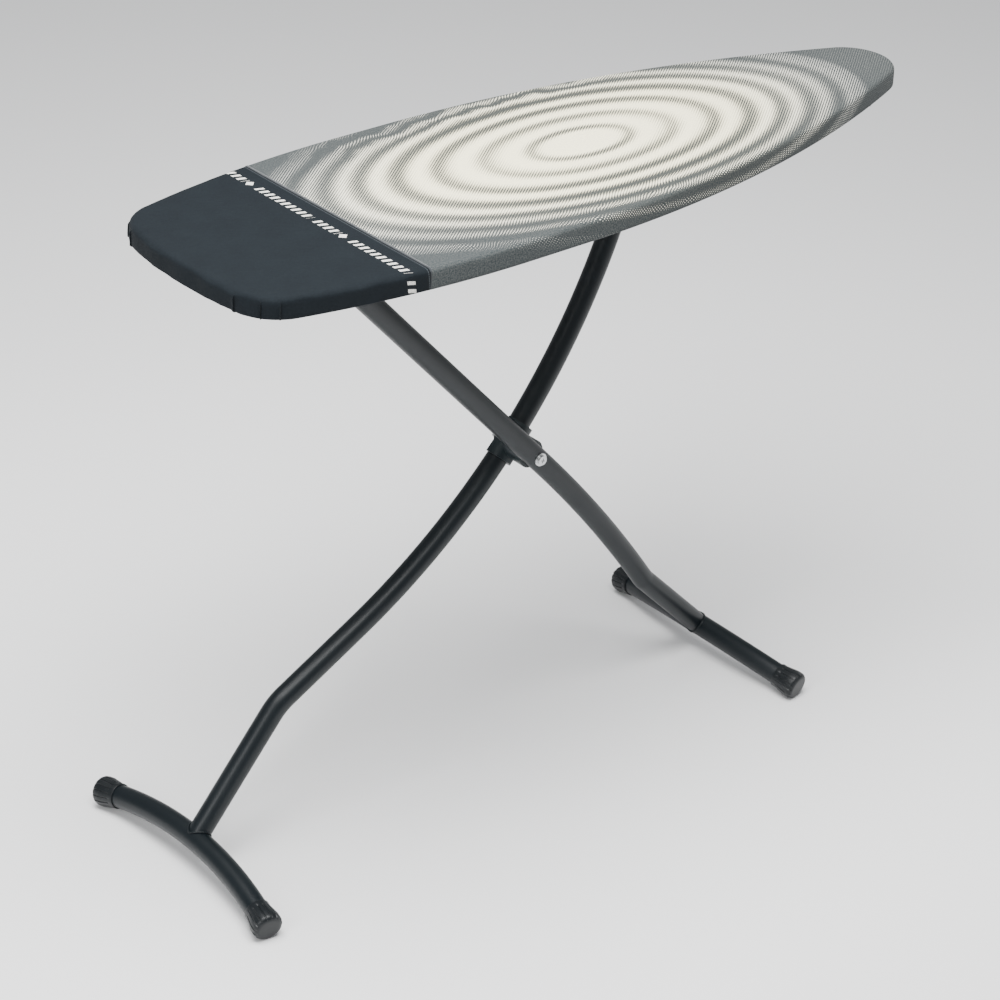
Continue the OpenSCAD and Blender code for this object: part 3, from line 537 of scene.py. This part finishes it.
# ---------------------------------------------------------------- mesh helpers
def finish_piece(bm, name, body, material, slot, replaced=(), smooth=40.0):
    bmesh.ops.remove_doubles(bm, verts=bm.verts, dist=0.00001)
    mesh = bpy.data.meshes.new(name)
    bm.to_mesh(mesh)
    bm.free()
    piece = bpy.data.objects.new(name, mesh)
    bpy.context.scene.collection.objects.link(piece)
    mesh.materials.append(material)
    if smooth:
        mesh.shade_smooth()
        mesh.set_sharp_from_angle(angle=math.radians(smooth))
    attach(piece, body)
    if replaced:
        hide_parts(*replaced)
    return piece


def add_modifier(piece, kind, **values):
    modifier = piece.modifiers.new(kind.lower(), kind)
    for key, value in values.items():
        setattr(modifier, key, value)
    return modifier


# ---------------------------------------------------------------- outline of the board
def board_arcs():
    """Centre, radius, start angle and sweep of each arc, from the nose to the square end."""
    nose = Vector((BOARD_LEN / 2 - NOSE_R, 0))
    half = BOARD_W / 2
    drop = math.sqrt((SIDE_NOSE_R - NOSE_R) ** 2 - (SIDE_NOSE_R - half) ** 2)
    side_nose = Vector((nose.x - drop, half - SIDE_NOSE_R))
    side_end = Vector((SIDE_END_X, half - SIDE_END_R))
    end = Vector((END_R - BOARD_LEN / 2, 0))
    gap = (end - side_end).length
    along = (end - side_end) / gap
    reach = ((SIDE_END_R - CORNER_R) ** 2 - (END_R - CORNER_R) ** 2 + gap * gap) / (2 * gap)
    height = math.sqrt((SIDE_END_R - CORNER_R) ** 2 - reach * reach)
    square = Vector((-along.y, along.x)) * height
    corner = min((side_end + along * reach + square, side_end + along * reach - square),
                 key=lambda c: c.x)

    def angle(v):
        return math.degrees(math.atan2(v.y, v.x)) % 360
    a1 = angle(nose - side_nose)
    a2 = angle(corner - side_end)
    a3 = angle(corner - end)
    return [(nose, NOSE_R, 0.0, a1, 16), (side_nose, SIDE_NOSE_R, a1, 90.0, 60),
            (side_end, SIDE_END_R, 90.0, a2, 26), (corner, CORNER_R, a2, a3, 16),
            (end, END_R, a3, 180.0, 8)], corner


ARCS, CORNER = board_arcs()


def outline_loop(bm, inset, z):
    """Spins one point round the arcs and mirrors it; gives the loop's edges."""
    start = bm.verts.new((BOARD_LEN / 2 - inset, 0, z))
    before = set(bm.edges)
    tip = start
    for centre, radius, first, last, steps in ARCS:
        begin = centre + (radius - inset) * Vector((cos(first), sin(first)))
        if (begin - tip.co.xy).length > 1e-4:
            longer = bmesh.ops.extrude_vert_indiv(bm, verts=[tip])["verts"]
            bmesh.ops.translate(bm, verts=longer, vec=(*(begin - tip.co.xy), 0))
            tip = longer[0]
        made = bmesh.ops.spin(bm, geom=[tip], cent=(centre.x, centre.y, z), axis=(0, 0, 1),
                              angle=math.radians(last - first), steps=steps)
        tip = next(g for g in made["geom_last"] if isinstance(g, bmesh.types.BMVert))
    edges = [e for e in bm.edges if e not in before]
    verts = list({v for e in edges for v in e.verts})
    for v in (start, tip):
        v.co.y = 0.0
    bmesh.ops.mirror(bm, geom=edges + verts, matrix=Matrix(), merge_dist=-1, axis="Y")
    made = [e for e in bm.edges if e not in before]
    ends = [v for e in made for v in e.verts if abs(v.co.y) < 1e-9]
    bmesh.ops.remove_doubles(bm, verts=list(set(ends)), dist=1e-6)
    return [e for e in bm.edges if e not in before]


def in_order(edges):
    """The loop's vertices from the tip of the nose round by +Y."""
    beside = {}
    for e in edges:
        for v in e.verts:
            beside.setdefault(v, []).append(e.other_vert(v))
    first = max(beside, key=lambda v: v.co.x)
    order = [first, max(beside[first], key=lambda v: v.co.y)]
    while True:
        ahead = next(v for v in beside[order[-1]] if v != order[-2])
        if ahead == first:
            return order
        order.append(ahead)


def cover_profile():
    """Rings of the cover from the top's edge to the hem: cut inset, made inset and height."""
    rings, run, turn = [], 0.0, 0.006
    for i in range(6):
        a = i * 18.0
        rings.append((turn - run, turn - turn * sin(a), BOARD_H - turn * (1 - cos(a))))
        run += turn * math.radians(18.0)
    run -= turn * math.radians(18.0)
    low = COVER_BOTTOM + 0.003
    for i in range(1, 6):
        z = BOARD_H - turn - (BOARD_H - turn - low) * i / 5
        rings.append((turn - run - (BOARD_H - turn - z), -0.0002, z))
    run += BOARD_H - turn - low
    rings.append((turn - run - 0.0019, 0.0006, COVER_BOTTOM + 0.0009))
    rings.append((turn - run - 0.0042, 0.0022, COVER_BOTTOM))
    rings.append((turn - run - 0.012, 0.0115, COVER_BOTTOM))
    rings.append((turn - run - 0.0245, HEM_W, COVER_BOTTOM))
    return rings


def cover_shell(rise=0.0):
    """The whole cover, made flat as it was cut, then folded round the pad."""
    bm = bmesh.new()
    cut = bm.verts.layers.float_vector.new("cloth")
    loops = []
    for cut_inset, inset, z in cover_profile():
        pattern = bmesh.new()
        flat = [v.co.copy() for v in in_order(outline_loop(pattern, cut_inset, 0))]
        pattern.free()
        edges = outline_loop(bm, inset - rise, z + rise)
        for v, co in zip(in_order(edges), flat):
            v[cut] = co
        loops.append(edges)
    for upper, lower in zip(loops, loops[1:]):
        bmesh.ops.bridge_loops(bm, edges=upper + lower)
    bmesh.ops.contextual_create(bm, geom=loops[0])
    bmesh.ops.recalc_face_normals(bm, faces=bm.faces)
    step = 0.012
    count = int(BOARD_LEN / step)
    for i in range(1, count):
        x = -BOARD_LEN / 2 + BOARD_LEN * i / count
        bmesh.ops.bisect_plane(bm, geom=list(bm.faces) + list(bm.edges) + list(bm.verts),
                               plane_co=(x, 0, 0), plane_no=(1, 0, 0), dist=1e-6)
    rows = int(BOARD_W / step)
    for i in range(1, rows):
        y = -BOARD_W / 2 + BOARD_W * i / rows
        flat_faces = [f for f in bm.faces if f.normal.z > 0.999]
        around = flat_faces + list({e for f in flat_faces for e in f.edges}) \
            + list({v for f in flat_faces for v in f.verts})
        bmesh.ops.bisect_plane(bm, geom=around, plane_co=(0, y, 0), plane_no=(0, 1, 0),
                               dist=1e-6)
    for f in bm.faces:
        if f.normal.z > 0.999:
            for v in f.verts:
                v[cut] = (v.co.x, v.co.y, 0)
    return bm, cut


def settle_cover(bm, cut):
    """Small slack in the cloth: soft waves on top, puckers on the wall and the hem."""
    for v in bm.verts:
        p = v.co.copy()
        out = Vector((v[cut].x - p.x, v[cut].y - p.y, 0))
        wall = min(1.0, max(0.0, (BOARD_H - p.z) / 0.006))
        soft = noise.noise(Vector((p.x * 5, p.y * 7, 3.1)))
        if wall < 0.02:
            v.co.z += 0.0005 * soft - 0.0003
        elif out.length > 1e-6:
            out.normalize()
            end_zone = min(1.0, max(0.0, (-0.30 - p.x) / 0.2))
            fine = 0.5 + noise.noise(Vector((p.x * 42, p.y * 42, p.z * 30)))
            broad = 0.5 + noise.noise(Vector((p.x * 14, p.y * 14, p.z * 12 + 9)))
            hem = 1.0 if p.z > COVER_BOTTOM + 0.002 else 0.1
            swell = (0.0007 + 0.0012 * end_zone) * fine + (0.0006 + 0.0012 * end_zone) * broad
            v.co += out * hem * wall * max(0.0, swell)
            if wall < 0.98:
                v.co.z -= 0.0008 * end_zone * fine


def pleat_cover(bm, cut):
    """Folds of spare cloth lapped over at the corners of the square end; their slits are marked for
    painted shade.
    """
    # a mark for the painted shade in the pleat slits
    fold_shade = bm.verts.layers.float.new("fold_shade")
    for side, angles in ((-1, (187.0, 218.0, 237.5)), (1, (199.0, 221.0, 240.0))):
        centre = Vector((CORNER.x, side * CORNER.y, 0))
        for degrees in angles:
            a = math.radians(degrees if side < 0 else 360 - degrees)
            ray = Vector((math.cos(a), math.sin(a), 0))
            across = Vector((-ray.y, ray.x, 0))
            for shift in (-0.0070, -0.0006, 0.0, 0.0008):
                near = [f for f in bm.faces if f.calc_center_median().z < BOARD_H - 0.004
                        and (f.calc_center_median() - centre).dot(ray) > 0.03
                        and abs((f.calc_center_median() - centre).dot(across)) < 0.02]
                around = near + list({e for f in near for e in f.edges}) \
                    + list({v for f in near for v in f.verts})
                bmesh.ops.bisect_plane(bm, geom=around, plane_co=centre + across * shift,
                                       plane_no=across, dist=1e-6)
            for v in bm.verts:
                rel = v.co - centre
                along = rel.dot(across)
                if rel.dot(ray) > 0.06 and COVER_BOTTOM + 0.0005 < v.co.z < BOARD_H - 0.007:
                    if -0.0008 < along < -0.0004:
                        v.co += ray * 0.0026
                    elif -0.0003 < along < 0.0005:
                        # the slit gets painted shade in the heat cloth's colour
                        v[fold_shade] = 1.0


def flat_area(spots):
    return abs(sum(a.x * b.y - a.y * b.x for a, b in zip(spots, spots[1:] + spots[:1]))) / 2


def make_cover():
    whole, cut = cover_shell()
    pleat_cover(whole, cut)
    settle_cover(whole, cut)
    pieces = []
    for name, material, slot, node, clear in (
            ("cover_printed", PRINTED, "printed_cotton", "cover_main", "clear_inner"),
            ("cover_heat_end", HEAT_CLOTH, "heat_zone_cloth", "cover_heat_zone", "clear_outer")):
        bm = whole.copy()
        cut = bm.verts.layers.float_vector["cloth"]
        shift = 0.0012 if clear == "clear_inner" else -0.0012
        bmesh.ops.bisect_plane(bm, geom=list(bm.faces) + list(bm.edges) + list(bm.verts),
                               plane_co=(SEAM_X + shift, 0, 0), plane_no=(1, 0, 0), dist=1e-6,
                               **{clear: True})
        bmesh.ops.translate(bm, verts=bm.verts, vec=(MID_X, 0, 0))
        area = sum(flat_area([v[cut] for v in f.verts]) for f in bm.faces)
        spots = [v[cut].copy() for v in bm.verts]
        length = max(c.x for c in spots) - min(c.x for c in spots)
        width = max(c.y for c in spots) - min(c.y for c in spots)
        piece = finish_piece(bm, name, "board", material, slot, (node,), 50)
        add_modifier(piece, "SOLIDIFY", thickness=CLOTH_T, offset=-1.0)
        pieces.append((piece, width, length, area))
    whole.free()
    return pieces


def make_seam():
    """The folded welt where the two cloths are sewn together, standing slightly proud."""
    bm, cut = cover_shell(0.0005)
    geom = list(bm.faces) + list(bm.edges) + list(bm.verts)
    bmesh.ops.bisect_plane(bm, geom=geom, plane_co=(SEAM_X - 0.0016, 0, 0),
                           plane_no=(1, 0, 0), dist=1e-6, clear_inner=True)
    geom = list(bm.faces) + list(bm.edges) + list(bm.verts)
    bmesh.ops.bisect_plane(bm, geom=geom, plane_co=(SEAM_X + 0.0016, 0, 0),
                           plane_no=(1, 0, 0), dist=1e-6, clear_outer=True)
    bmesh.ops.translate(bm, verts=bm.verts, vec=(MID_X, 0, 0))
    piece = finish_piece(bm, "cover_seam", "board", SEAM_CLOTH, "seam_tape", ("seam_tape",), 50)
    add_modifier(piece, "SOLIDIFY", thickness=0.0016, offset=-1.0)
    return piece


def make_pad():
    """The foam and felt underlay, rounded along its top edge."""
    bm = bmesh.new()
    top, low = BOARD_H - CLOTH_T - 0.0002, 0.9880
    loops = [outline_loop(bm, inset, z) for inset, z in
             ((0.0020, low), (0.0016, low + 0.003), (0.0016, top - 0.0055),
              (0.0030, top - 0.0025), (0.0055, top - 0.0006), (0.0085, top), (0.030, top))]
    for upper, lower in zip(loops, loops[1:]):
        bmesh.ops.bridge_loops(bm, edges=upper + lower)
    bmesh.ops.contextual_create(bm, geom=loops[0])
    bmesh.ops.contextual_create(bm, geom=loops[-1])
    bmesh.ops.recalc_face_normals(bm, faces=bm.faces)
    bmesh.ops.translate(bm, verts=bm.verts, vec=(MID_X, 0, 0))
    return finish_piece(bm, "underlay_pad", "board", PAD_FELT, "pad_felt", ("foam_pad",))


cover_pieces = make_cover()
seam = make_seam()
pad = make_pad()


# ---------------------------------------------------------------- legs, feet and caps
def turn_y(degrees):
    return Matrix.Rotation(math.radians(degrees), 4, "Y")


def ring(bm, place, radius, count=64):
    """A circle of edges with its axis along the place's own z."""
    made = bmesh.ops.create_circle(bm, cap_ends=False, segments=count, radius=radius,
                                   matrix=place)
    return list({e for v in made["verts"] for e in v.link_edges})


def push(bm, edges, way):
    """Carries a rim straight on and gives the new rim."""
    made = bmesh.ops.extrude_edge_only(bm, edges=edges)["geom"]
    verts = {g for g in made if isinstance(g, bmesh.types.BMVert)}
    bmesh.ops.translate(bm, verts=list(verts), vec=way)
    return [g for g in made if isinstance(g, bmesh.types.BMEdge)
            and all(v in verts for v in g.verts)]


def swing(bm, edges, centre, axis, degrees, steps):
    """Carries a rim round an arc and gives the new rim."""
    verts = list({v for e in edges for v in e.verts})
    made = bmesh.ops.spin(bm, geom=edges + verts, cent=centre, axis=axis,
                          angle=math.radians(degrees), steps=steps)
    return [g for g in made["geom_last"] if isinstance(g, bmesh.types.BMEdge)]


def close_ring(bm, edges):
    bmesh.ops.contextual_create(bm, geom=edges)


FOOT_HALF = FOOT_REACH - CAP_LEN
FOOT_TIP = CAP_COLLAR + 0.004
FOOT_END = 2 * math.degrees(math.atan(FOOT_BOW / (FOOT_HALF + FOOT_TIP)))
FOOT_ARC = (FOOT_HALF - FOOT_TIP * cos(FOOT_END)) / sin(FOOT_END)


def foot_z(slope):
    down = sin(FOOT_END) * sin(slope)
    drop = (CAP_R - CAP_ROUND) * math.sqrt(1 - down * down) + CAP_ROUND \
        + down * (CAP_LEN - CAP_ROUND)
    return drop - 0.001 + FOOT_BOW * sin(slope)


def plane_vec(u, v):
    return Vector((u, 0, v))


FRONT_LEAN = math.degrees(math.atan(PIVOT_Y / (PIVOT.z - foot_z(FRONT_END_SLOPE))))
REAR_LEAN = math.degrees(math.atan(PIVOT_Y / (PIVOT.z - foot_z(REAR_END_SLOPE))))
FRONT_PLACE = Matrix.Translation(PIVOT - Vector((0, PIVOT_Y, 0))) \
    @ Matrix.Rotation(math.radians(FRONT_LEAN), 4, "X")
REAR_PLACE = Matrix.Translation(PIVOT + Vector((0, PIVOT_Y, 0))) \
    @ Matrix.Rotation(math.radians(-REAR_LEAN), 4, "X")


def tube_end(bm, edges, place):
    """Turns a tube's cut end in over its wall and down the bore."""
    rims = [edges]
    for radius, depth in ((TUBE_R - 0.0004, 0.0), (TUBE_R - TUBE_WALL, 0.0),
                          (TUBE_R - TUBE_WALL, 0.05)):
        rims.append(ring(bm, place @ Matrix.Translation((0, 0, depth)), radius))
    for a, b in zip(rims, rims[1:]):
        bmesh.ops.bridge_loops(bm, edges=a + b)
    close_ring(bm, rims[-1])


def make_front_leg():
    bm = bmesh.new()
    s0, s2 = FRONT_SLOPE, FRONT_END_SLOPE
    s1 = s0 + math.degrees(FRONT_ARC_LEN / FRONT_ARC_R)
    bow = FRONT_ARC_R * (FRONT_ARC_LEN - FRONT_START) / FRONT_ARC_LEN
    top_v = (HINGE_Z - PIVOT.z) / cos(FRONT_LEAN)
    top_len = top_v / sin(s0) + TUBE_PAST
    start = -top_len * plane_vec(cos(s0), -sin(s0))
    place = Matrix.Translation(start) @ turn_y(90 + s0)
    rim = ring(bm, place @ Matrix.Translation((0, 0, 0.0004)), TUBE_R)
    tube_end(bm, rim, place)
    rim = push(bm, rim, (top_len + FRONT_START - 0.0004) * plane_vec(cos(s0), -sin(s0)))
    first = FRONT_START * plane_vec(cos(s0), -sin(s0))
    rim = swing(bm, rim, first - bow * plane_vec(sin(s0), cos(s0)), (0, 1, 0), s1 - s0, 24)
    a = first + bow * plane_vec(sin(s1) - sin(s0), cos(s1) - cos(s0))
    rim = push(bm, rim, FRONT_MID_LEN * plane_vec(cos(s1), -sin(s1)))
    m = a + FRONT_MID_LEN * plane_vec(cos(s1), -sin(s1))
    rim = swing(bm, rim, m + FRONT_ANKLE_R * plane_vec(sin(s1), cos(s1)), (0, 1, 0), s2 - s1, 8)
    b = m + FRONT_ANKLE_R * plane_vec(sin(s1) - sin(s2), cos(s1) - cos(s2))
    foot_v = -(PIVOT.z - foot_z(s2)) / cos(FRONT_LEAN)
    last = (b.z - foot_v) / sin(s2)
    push(bm, rim, last * plane_vec(cos(s2), -sin(s2)))
    foot = b + last * plane_vec(cos(s2), -sin(s2))
    bmesh.ops.recalc_face_normals(bm, faces=bm.faces)
    bmesh.ops.transform(bm, matrix=FRONT_PLACE, verts=bm.verts)
    finish_piece(bm, "front_leg", "front_leg", TUBE_PAINT, "tube_paint", ("front_leg_tube",))
    return foot.x


def make_rear_leg():
    bm = bmesh.new()
    s0, s2 = REAR_SLOPE, REAR_END_SLOPE
    s1 = s0 - math.degrees(REAR_ARC_LEN / REAR_ARC_R)
    top_v = (SLIDE_Z - PIVOT.z) / cos(REAR_LEAN)
    top = math.degrees(math.acos(cos(s0) - top_v / REAR_ARC_R)) \
        + math.degrees(TUBE_PAST / REAR_ARC_R)
    centre = REAR_ARC_R * plane_vec(-sin(s0), cos(s0))
    start = centre + REAR_ARC_R * plane_vec(sin(top), -cos(top))
    place = Matrix.Translation(start) @ turn_y(-90 - top)
    rim = ring(bm, place, TUBE_R)
    tube_end(bm, rim, place)
    rim = swing(bm, rim, centre, (0, 1, 0), top - s1, 48)
    a = REAR_ARC_R * plane_vec(sin(s1) - sin(s0), cos(s0) - cos(s1))
    b = a - REAR_MID_LEN * plane_vec(cos(s1), sin(s1))
    rim = push(bm, rim, b - a)
    rim = swing(bm, rim, b + REAR_ANKLE_R * plane_vec(sin(s1), -cos(s1)), (0, 1, 0),
                s1 - s2, 14)
    c = b + REAR_ANKLE_R * plane_vec(sin(s1) - sin(s2), cos(s2) - cos(s1))
    foot_v = -(PIVOT.z - foot_z(s2)) / cos(REAR_LEAN)
    last = (c.z - foot_v) / sin(s2)
    push(bm, rim, -last * plane_vec(cos(s2), sin(s2)))
    foot = c - last * plane_vec(cos(s2), sin(s2))
    bmesh.ops.recalc_face_normals(bm, faces=bm.faces)
    bmesh.ops.transform(bm, matrix=REAR_PLACE, verts=bm.verts)
    finish_piece(bm, "rear_leg", "rear_leg", TUBE_PAINT, "tube_paint", ("rear_leg_tube",))
    return foot.x


def foot_place(foot_x, slope, tip):
    return Matrix.Translation((PIVOT.x + foot_x, 0, foot_z(slope))) @ turn_y(tip) \
        @ Matrix.Rotation(math.radians(90), 4, "Z") @ Matrix.Rotation(math.radians(90), 4, "X")


def foot_end(side):
    return Matrix.Translation((side * FOOT_HALF, -FOOT_BOW, 0)) \
        @ Matrix.Rotation(math.radians(-side * FOOT_END), 4, "Z") @ turn_y(side * 90)


def make_foot_bar(name, body, node, place):
    bm = bmesh.new()
    near = foot_end(-1)
    rim = ring(bm, near, FOOT_R)
    close_ring(bm, rim)
    rim = push(bm, rim, near.to_3x3() @ Vector((0, 0, -FOOT_TIP)))
    rim = swing(bm, rim, (0, -FOOT_ARC, 0), (0, 0, -1), 2 * FOOT_END, 28)
    rim = push(bm, rim, foot_end(1).to_3x3() @ Vector((0, 0, FOOT_TIP)))
    close_ring(bm, rim)
    bmesh.ops.recalc_face_normals(bm, faces=bm.faces)
    bmesh.ops.transform(bm, matrix=place, verts=bm.verts)
    return finish_piece(bm, name, body, TUBE_PAINT, "tube_paint", (node,))


def make_cap(name, body, node, place):
    """A flared, fluted end cap with a flat rubbed sole."""
    bm = bmesh.new()
    bore = FOOT_R + 0.00006
    outline = [(bore, -0.010), (bore, -CAP_COLLAR), (bore + 0.0005, -CAP_COLLAR - 0.0003),
               (bore + 0.0016, -CAP_COLLAR), (bore + 0.002, -CAP_COLLAR + 0.0008),
               (bore + 0.002, -CAP_COLLAR + 0.008), (bore + 0.0024, -CAP_COLLAR + 0.0095)]
    outline += [(bore + 0.0024 + (CAP_R - bore - 0.0024) * t, -0.0205 + 0.0175 * t)
                for t in (0.2, 0.4, 0.6, 0.8, 1.0)]
    outline += [(CAP_R - CAP_ROUND + CAP_ROUND * cos(a), CAP_LEN - CAP_ROUND
                 + CAP_ROUND * sin(a)) for a in range(0, 91, 10)]
    outline += [(CAP_R - CAP_ROUND - 0.006, CAP_LEN)]
    rims = [ring(bm, Matrix.Translation((0, 0, z)), r, 144) for r, z in outline]
    for a, b in zip(rims, rims[1:]):
        bmesh.ops.bridge_loops(bm, edges=a + b)
    close_ring(bm, rims[-1])
    bmesh.ops.recalc_face_normals(bm, faces=bm.faces)
    for v in bm.verts:
        r = math.hypot(v.co.x, v.co.y)
        if r > bore + 0.0021 and v.co.z > -CAP_COLLAR + 0.0088:
            phase = math.degrees(math.atan2(v.co.y, v.co.x)) * 16 / 360 % 1
            groove = max(0.0, 1 - ((phase - 0.5) / 0.17) ** 2)
            v.co.xy *= (r - 0.0012 * groove) / r
    bmesh.ops.transform(bm, matrix=place, verts=bm.verts)
    cut = bmesh.ops.bisect_plane(bm, geom=list(bm.faces) + list(bm.edges) + list(bm.verts),
                                 plane_co=(0, 0, 0.00001), plane_no=(0, 0, 1), dist=1e-6,
                                 clear_inner=True)["geom_cut"]
    edges = [g for g in cut if isinstance(g, bmesh.types.BMEdge)]
    if edges:
        bmesh.ops.contextual_create(bm, geom=edges)
    return finish_piece(bm, name, body, BLACK_PLASTIC, "black_plastic", (node,), 32)


def make_weld(name, body, leg_place, foot, slope_way):
    """The rippled bead where the leg meets its foot bar."""
    bm = bmesh.new()
    down = (leg_place.to_3x3() @ slope_way).normalized()
    side = Vector((0, 1, 0)) - down * down.y
    side.normalize()
    front = side.cross(down)
    rims = []
    count = 120
    for i in range(count):
        a = 2 * math.pi * i / count
        wave = 1 + 0.10 * math.sin(i * 1.9) + 0.06 * noise.noise(Vector((i * 0.4, 0, 0)))
        across = (TUBE_R + 0.0008) * math.cos(a)
        reach = math.sqrt(max((FOOT_R + 0.0006) ** 2 - across ** 2 * 0.96, 0.00001))
        spot = foot - down * reach + front * (TUBE_R + 0.0008) * math.cos(a) \
            + side * (TUBE_R + 0.0008) * math.sin(a)
        along = (-front * math.sin(a) + side * math.cos(a)).normalized()
        axes = along.to_track_quat("Z", "Y").to_matrix().to_4x4()
        rims.append(ring(bm, Matrix.Translation(spot) @ axes, 0.0015 * wave, 10))
    for a, b in zip(rims, rims[1:] + rims[:1]):
        bmesh.ops.bridge_loops(bm, edges=a + b)
    bmesh.ops.recalc_face_normals(bm, faces=bm.faces)
    return finish_piece(bm, name, body, TUBE_PAINT, "tube_paint", (), 60)


front_x = make_front_leg()
rear_x = make_rear_leg()
FRONT_FOOT = foot_place(front_x, FRONT_END_SLOPE, FRONT_END_SLOPE - 90)
REAR_FOOT = foot_place(rear_x, REAR_END_SLOPE, 90 - REAR_END_SLOPE)
for leg, place in (("front", FRONT_FOOT), ("rear", REAR_FOOT)):
    make_foot_bar(leg + "_foot", leg + "_leg", leg + "_foot_bar", place)
    for side, word in ((-1, "near"), (1, "far")):
        make_cap(f"{leg}_end_cap_{word}", leg + "_leg", f"{leg}_cap_{word}",
                 place @ foot_end(side))
make_weld("front_weld", "front_leg", FRONT_PLACE, FRONT_FOOT.translation,
          plane_vec(cos(FRONT_END_SLOPE), -sin(FRONT_END_SLOPE)))
make_weld("rear_weld", "rear_leg", REAR_PLACE, REAR_FOOT.translation,
          -plane_vec(cos(REAR_END_SLOPE), sin(REAR_END_SLOPE)))


# ---------------------------------------------------------------- finishes of the CAD pieces
FINISH = {
    SHEET_STEEL: ("top_plate",),
    FRAME_PAINT: ("rim_frame", "end_brace", "middle_brace", "nose_brace", "slide_channel",
                  "leg_bracket", "lever_bearing_near", "lever_bearing_far", "latch_plate",
                  "lever_arm_bar"),
    ZINC: ("bracket_rivets", "hinge_pin", "hinge_nut", "lever_rod", "lever_spring",
           "front_sleeve", "rear_sleeve", "pivot_washer", "pivot_bolt", "pivot_nut",
           "slide_axle", "axle_clip_near", "axle_clip_far"),
    BLACK_PLASTIC: ("hinge_bush_near", "hinge_bush_far", "pivot_bush", "pivot_flange",
                    "glide_block", "axle_spacer", "lever_grip"),
    SADDLE_PLASTIC: ("front_saddle", "rear_saddle"),
}
for material, names in FINISH.items():
    for name in names:
        mesh = NODES[name].data
        mesh.materials.clear()
        mesh.materials.append(material)
        mesh.shade_smooth()
        mesh.set_sharp_from_angle(angle=math.radians(30))
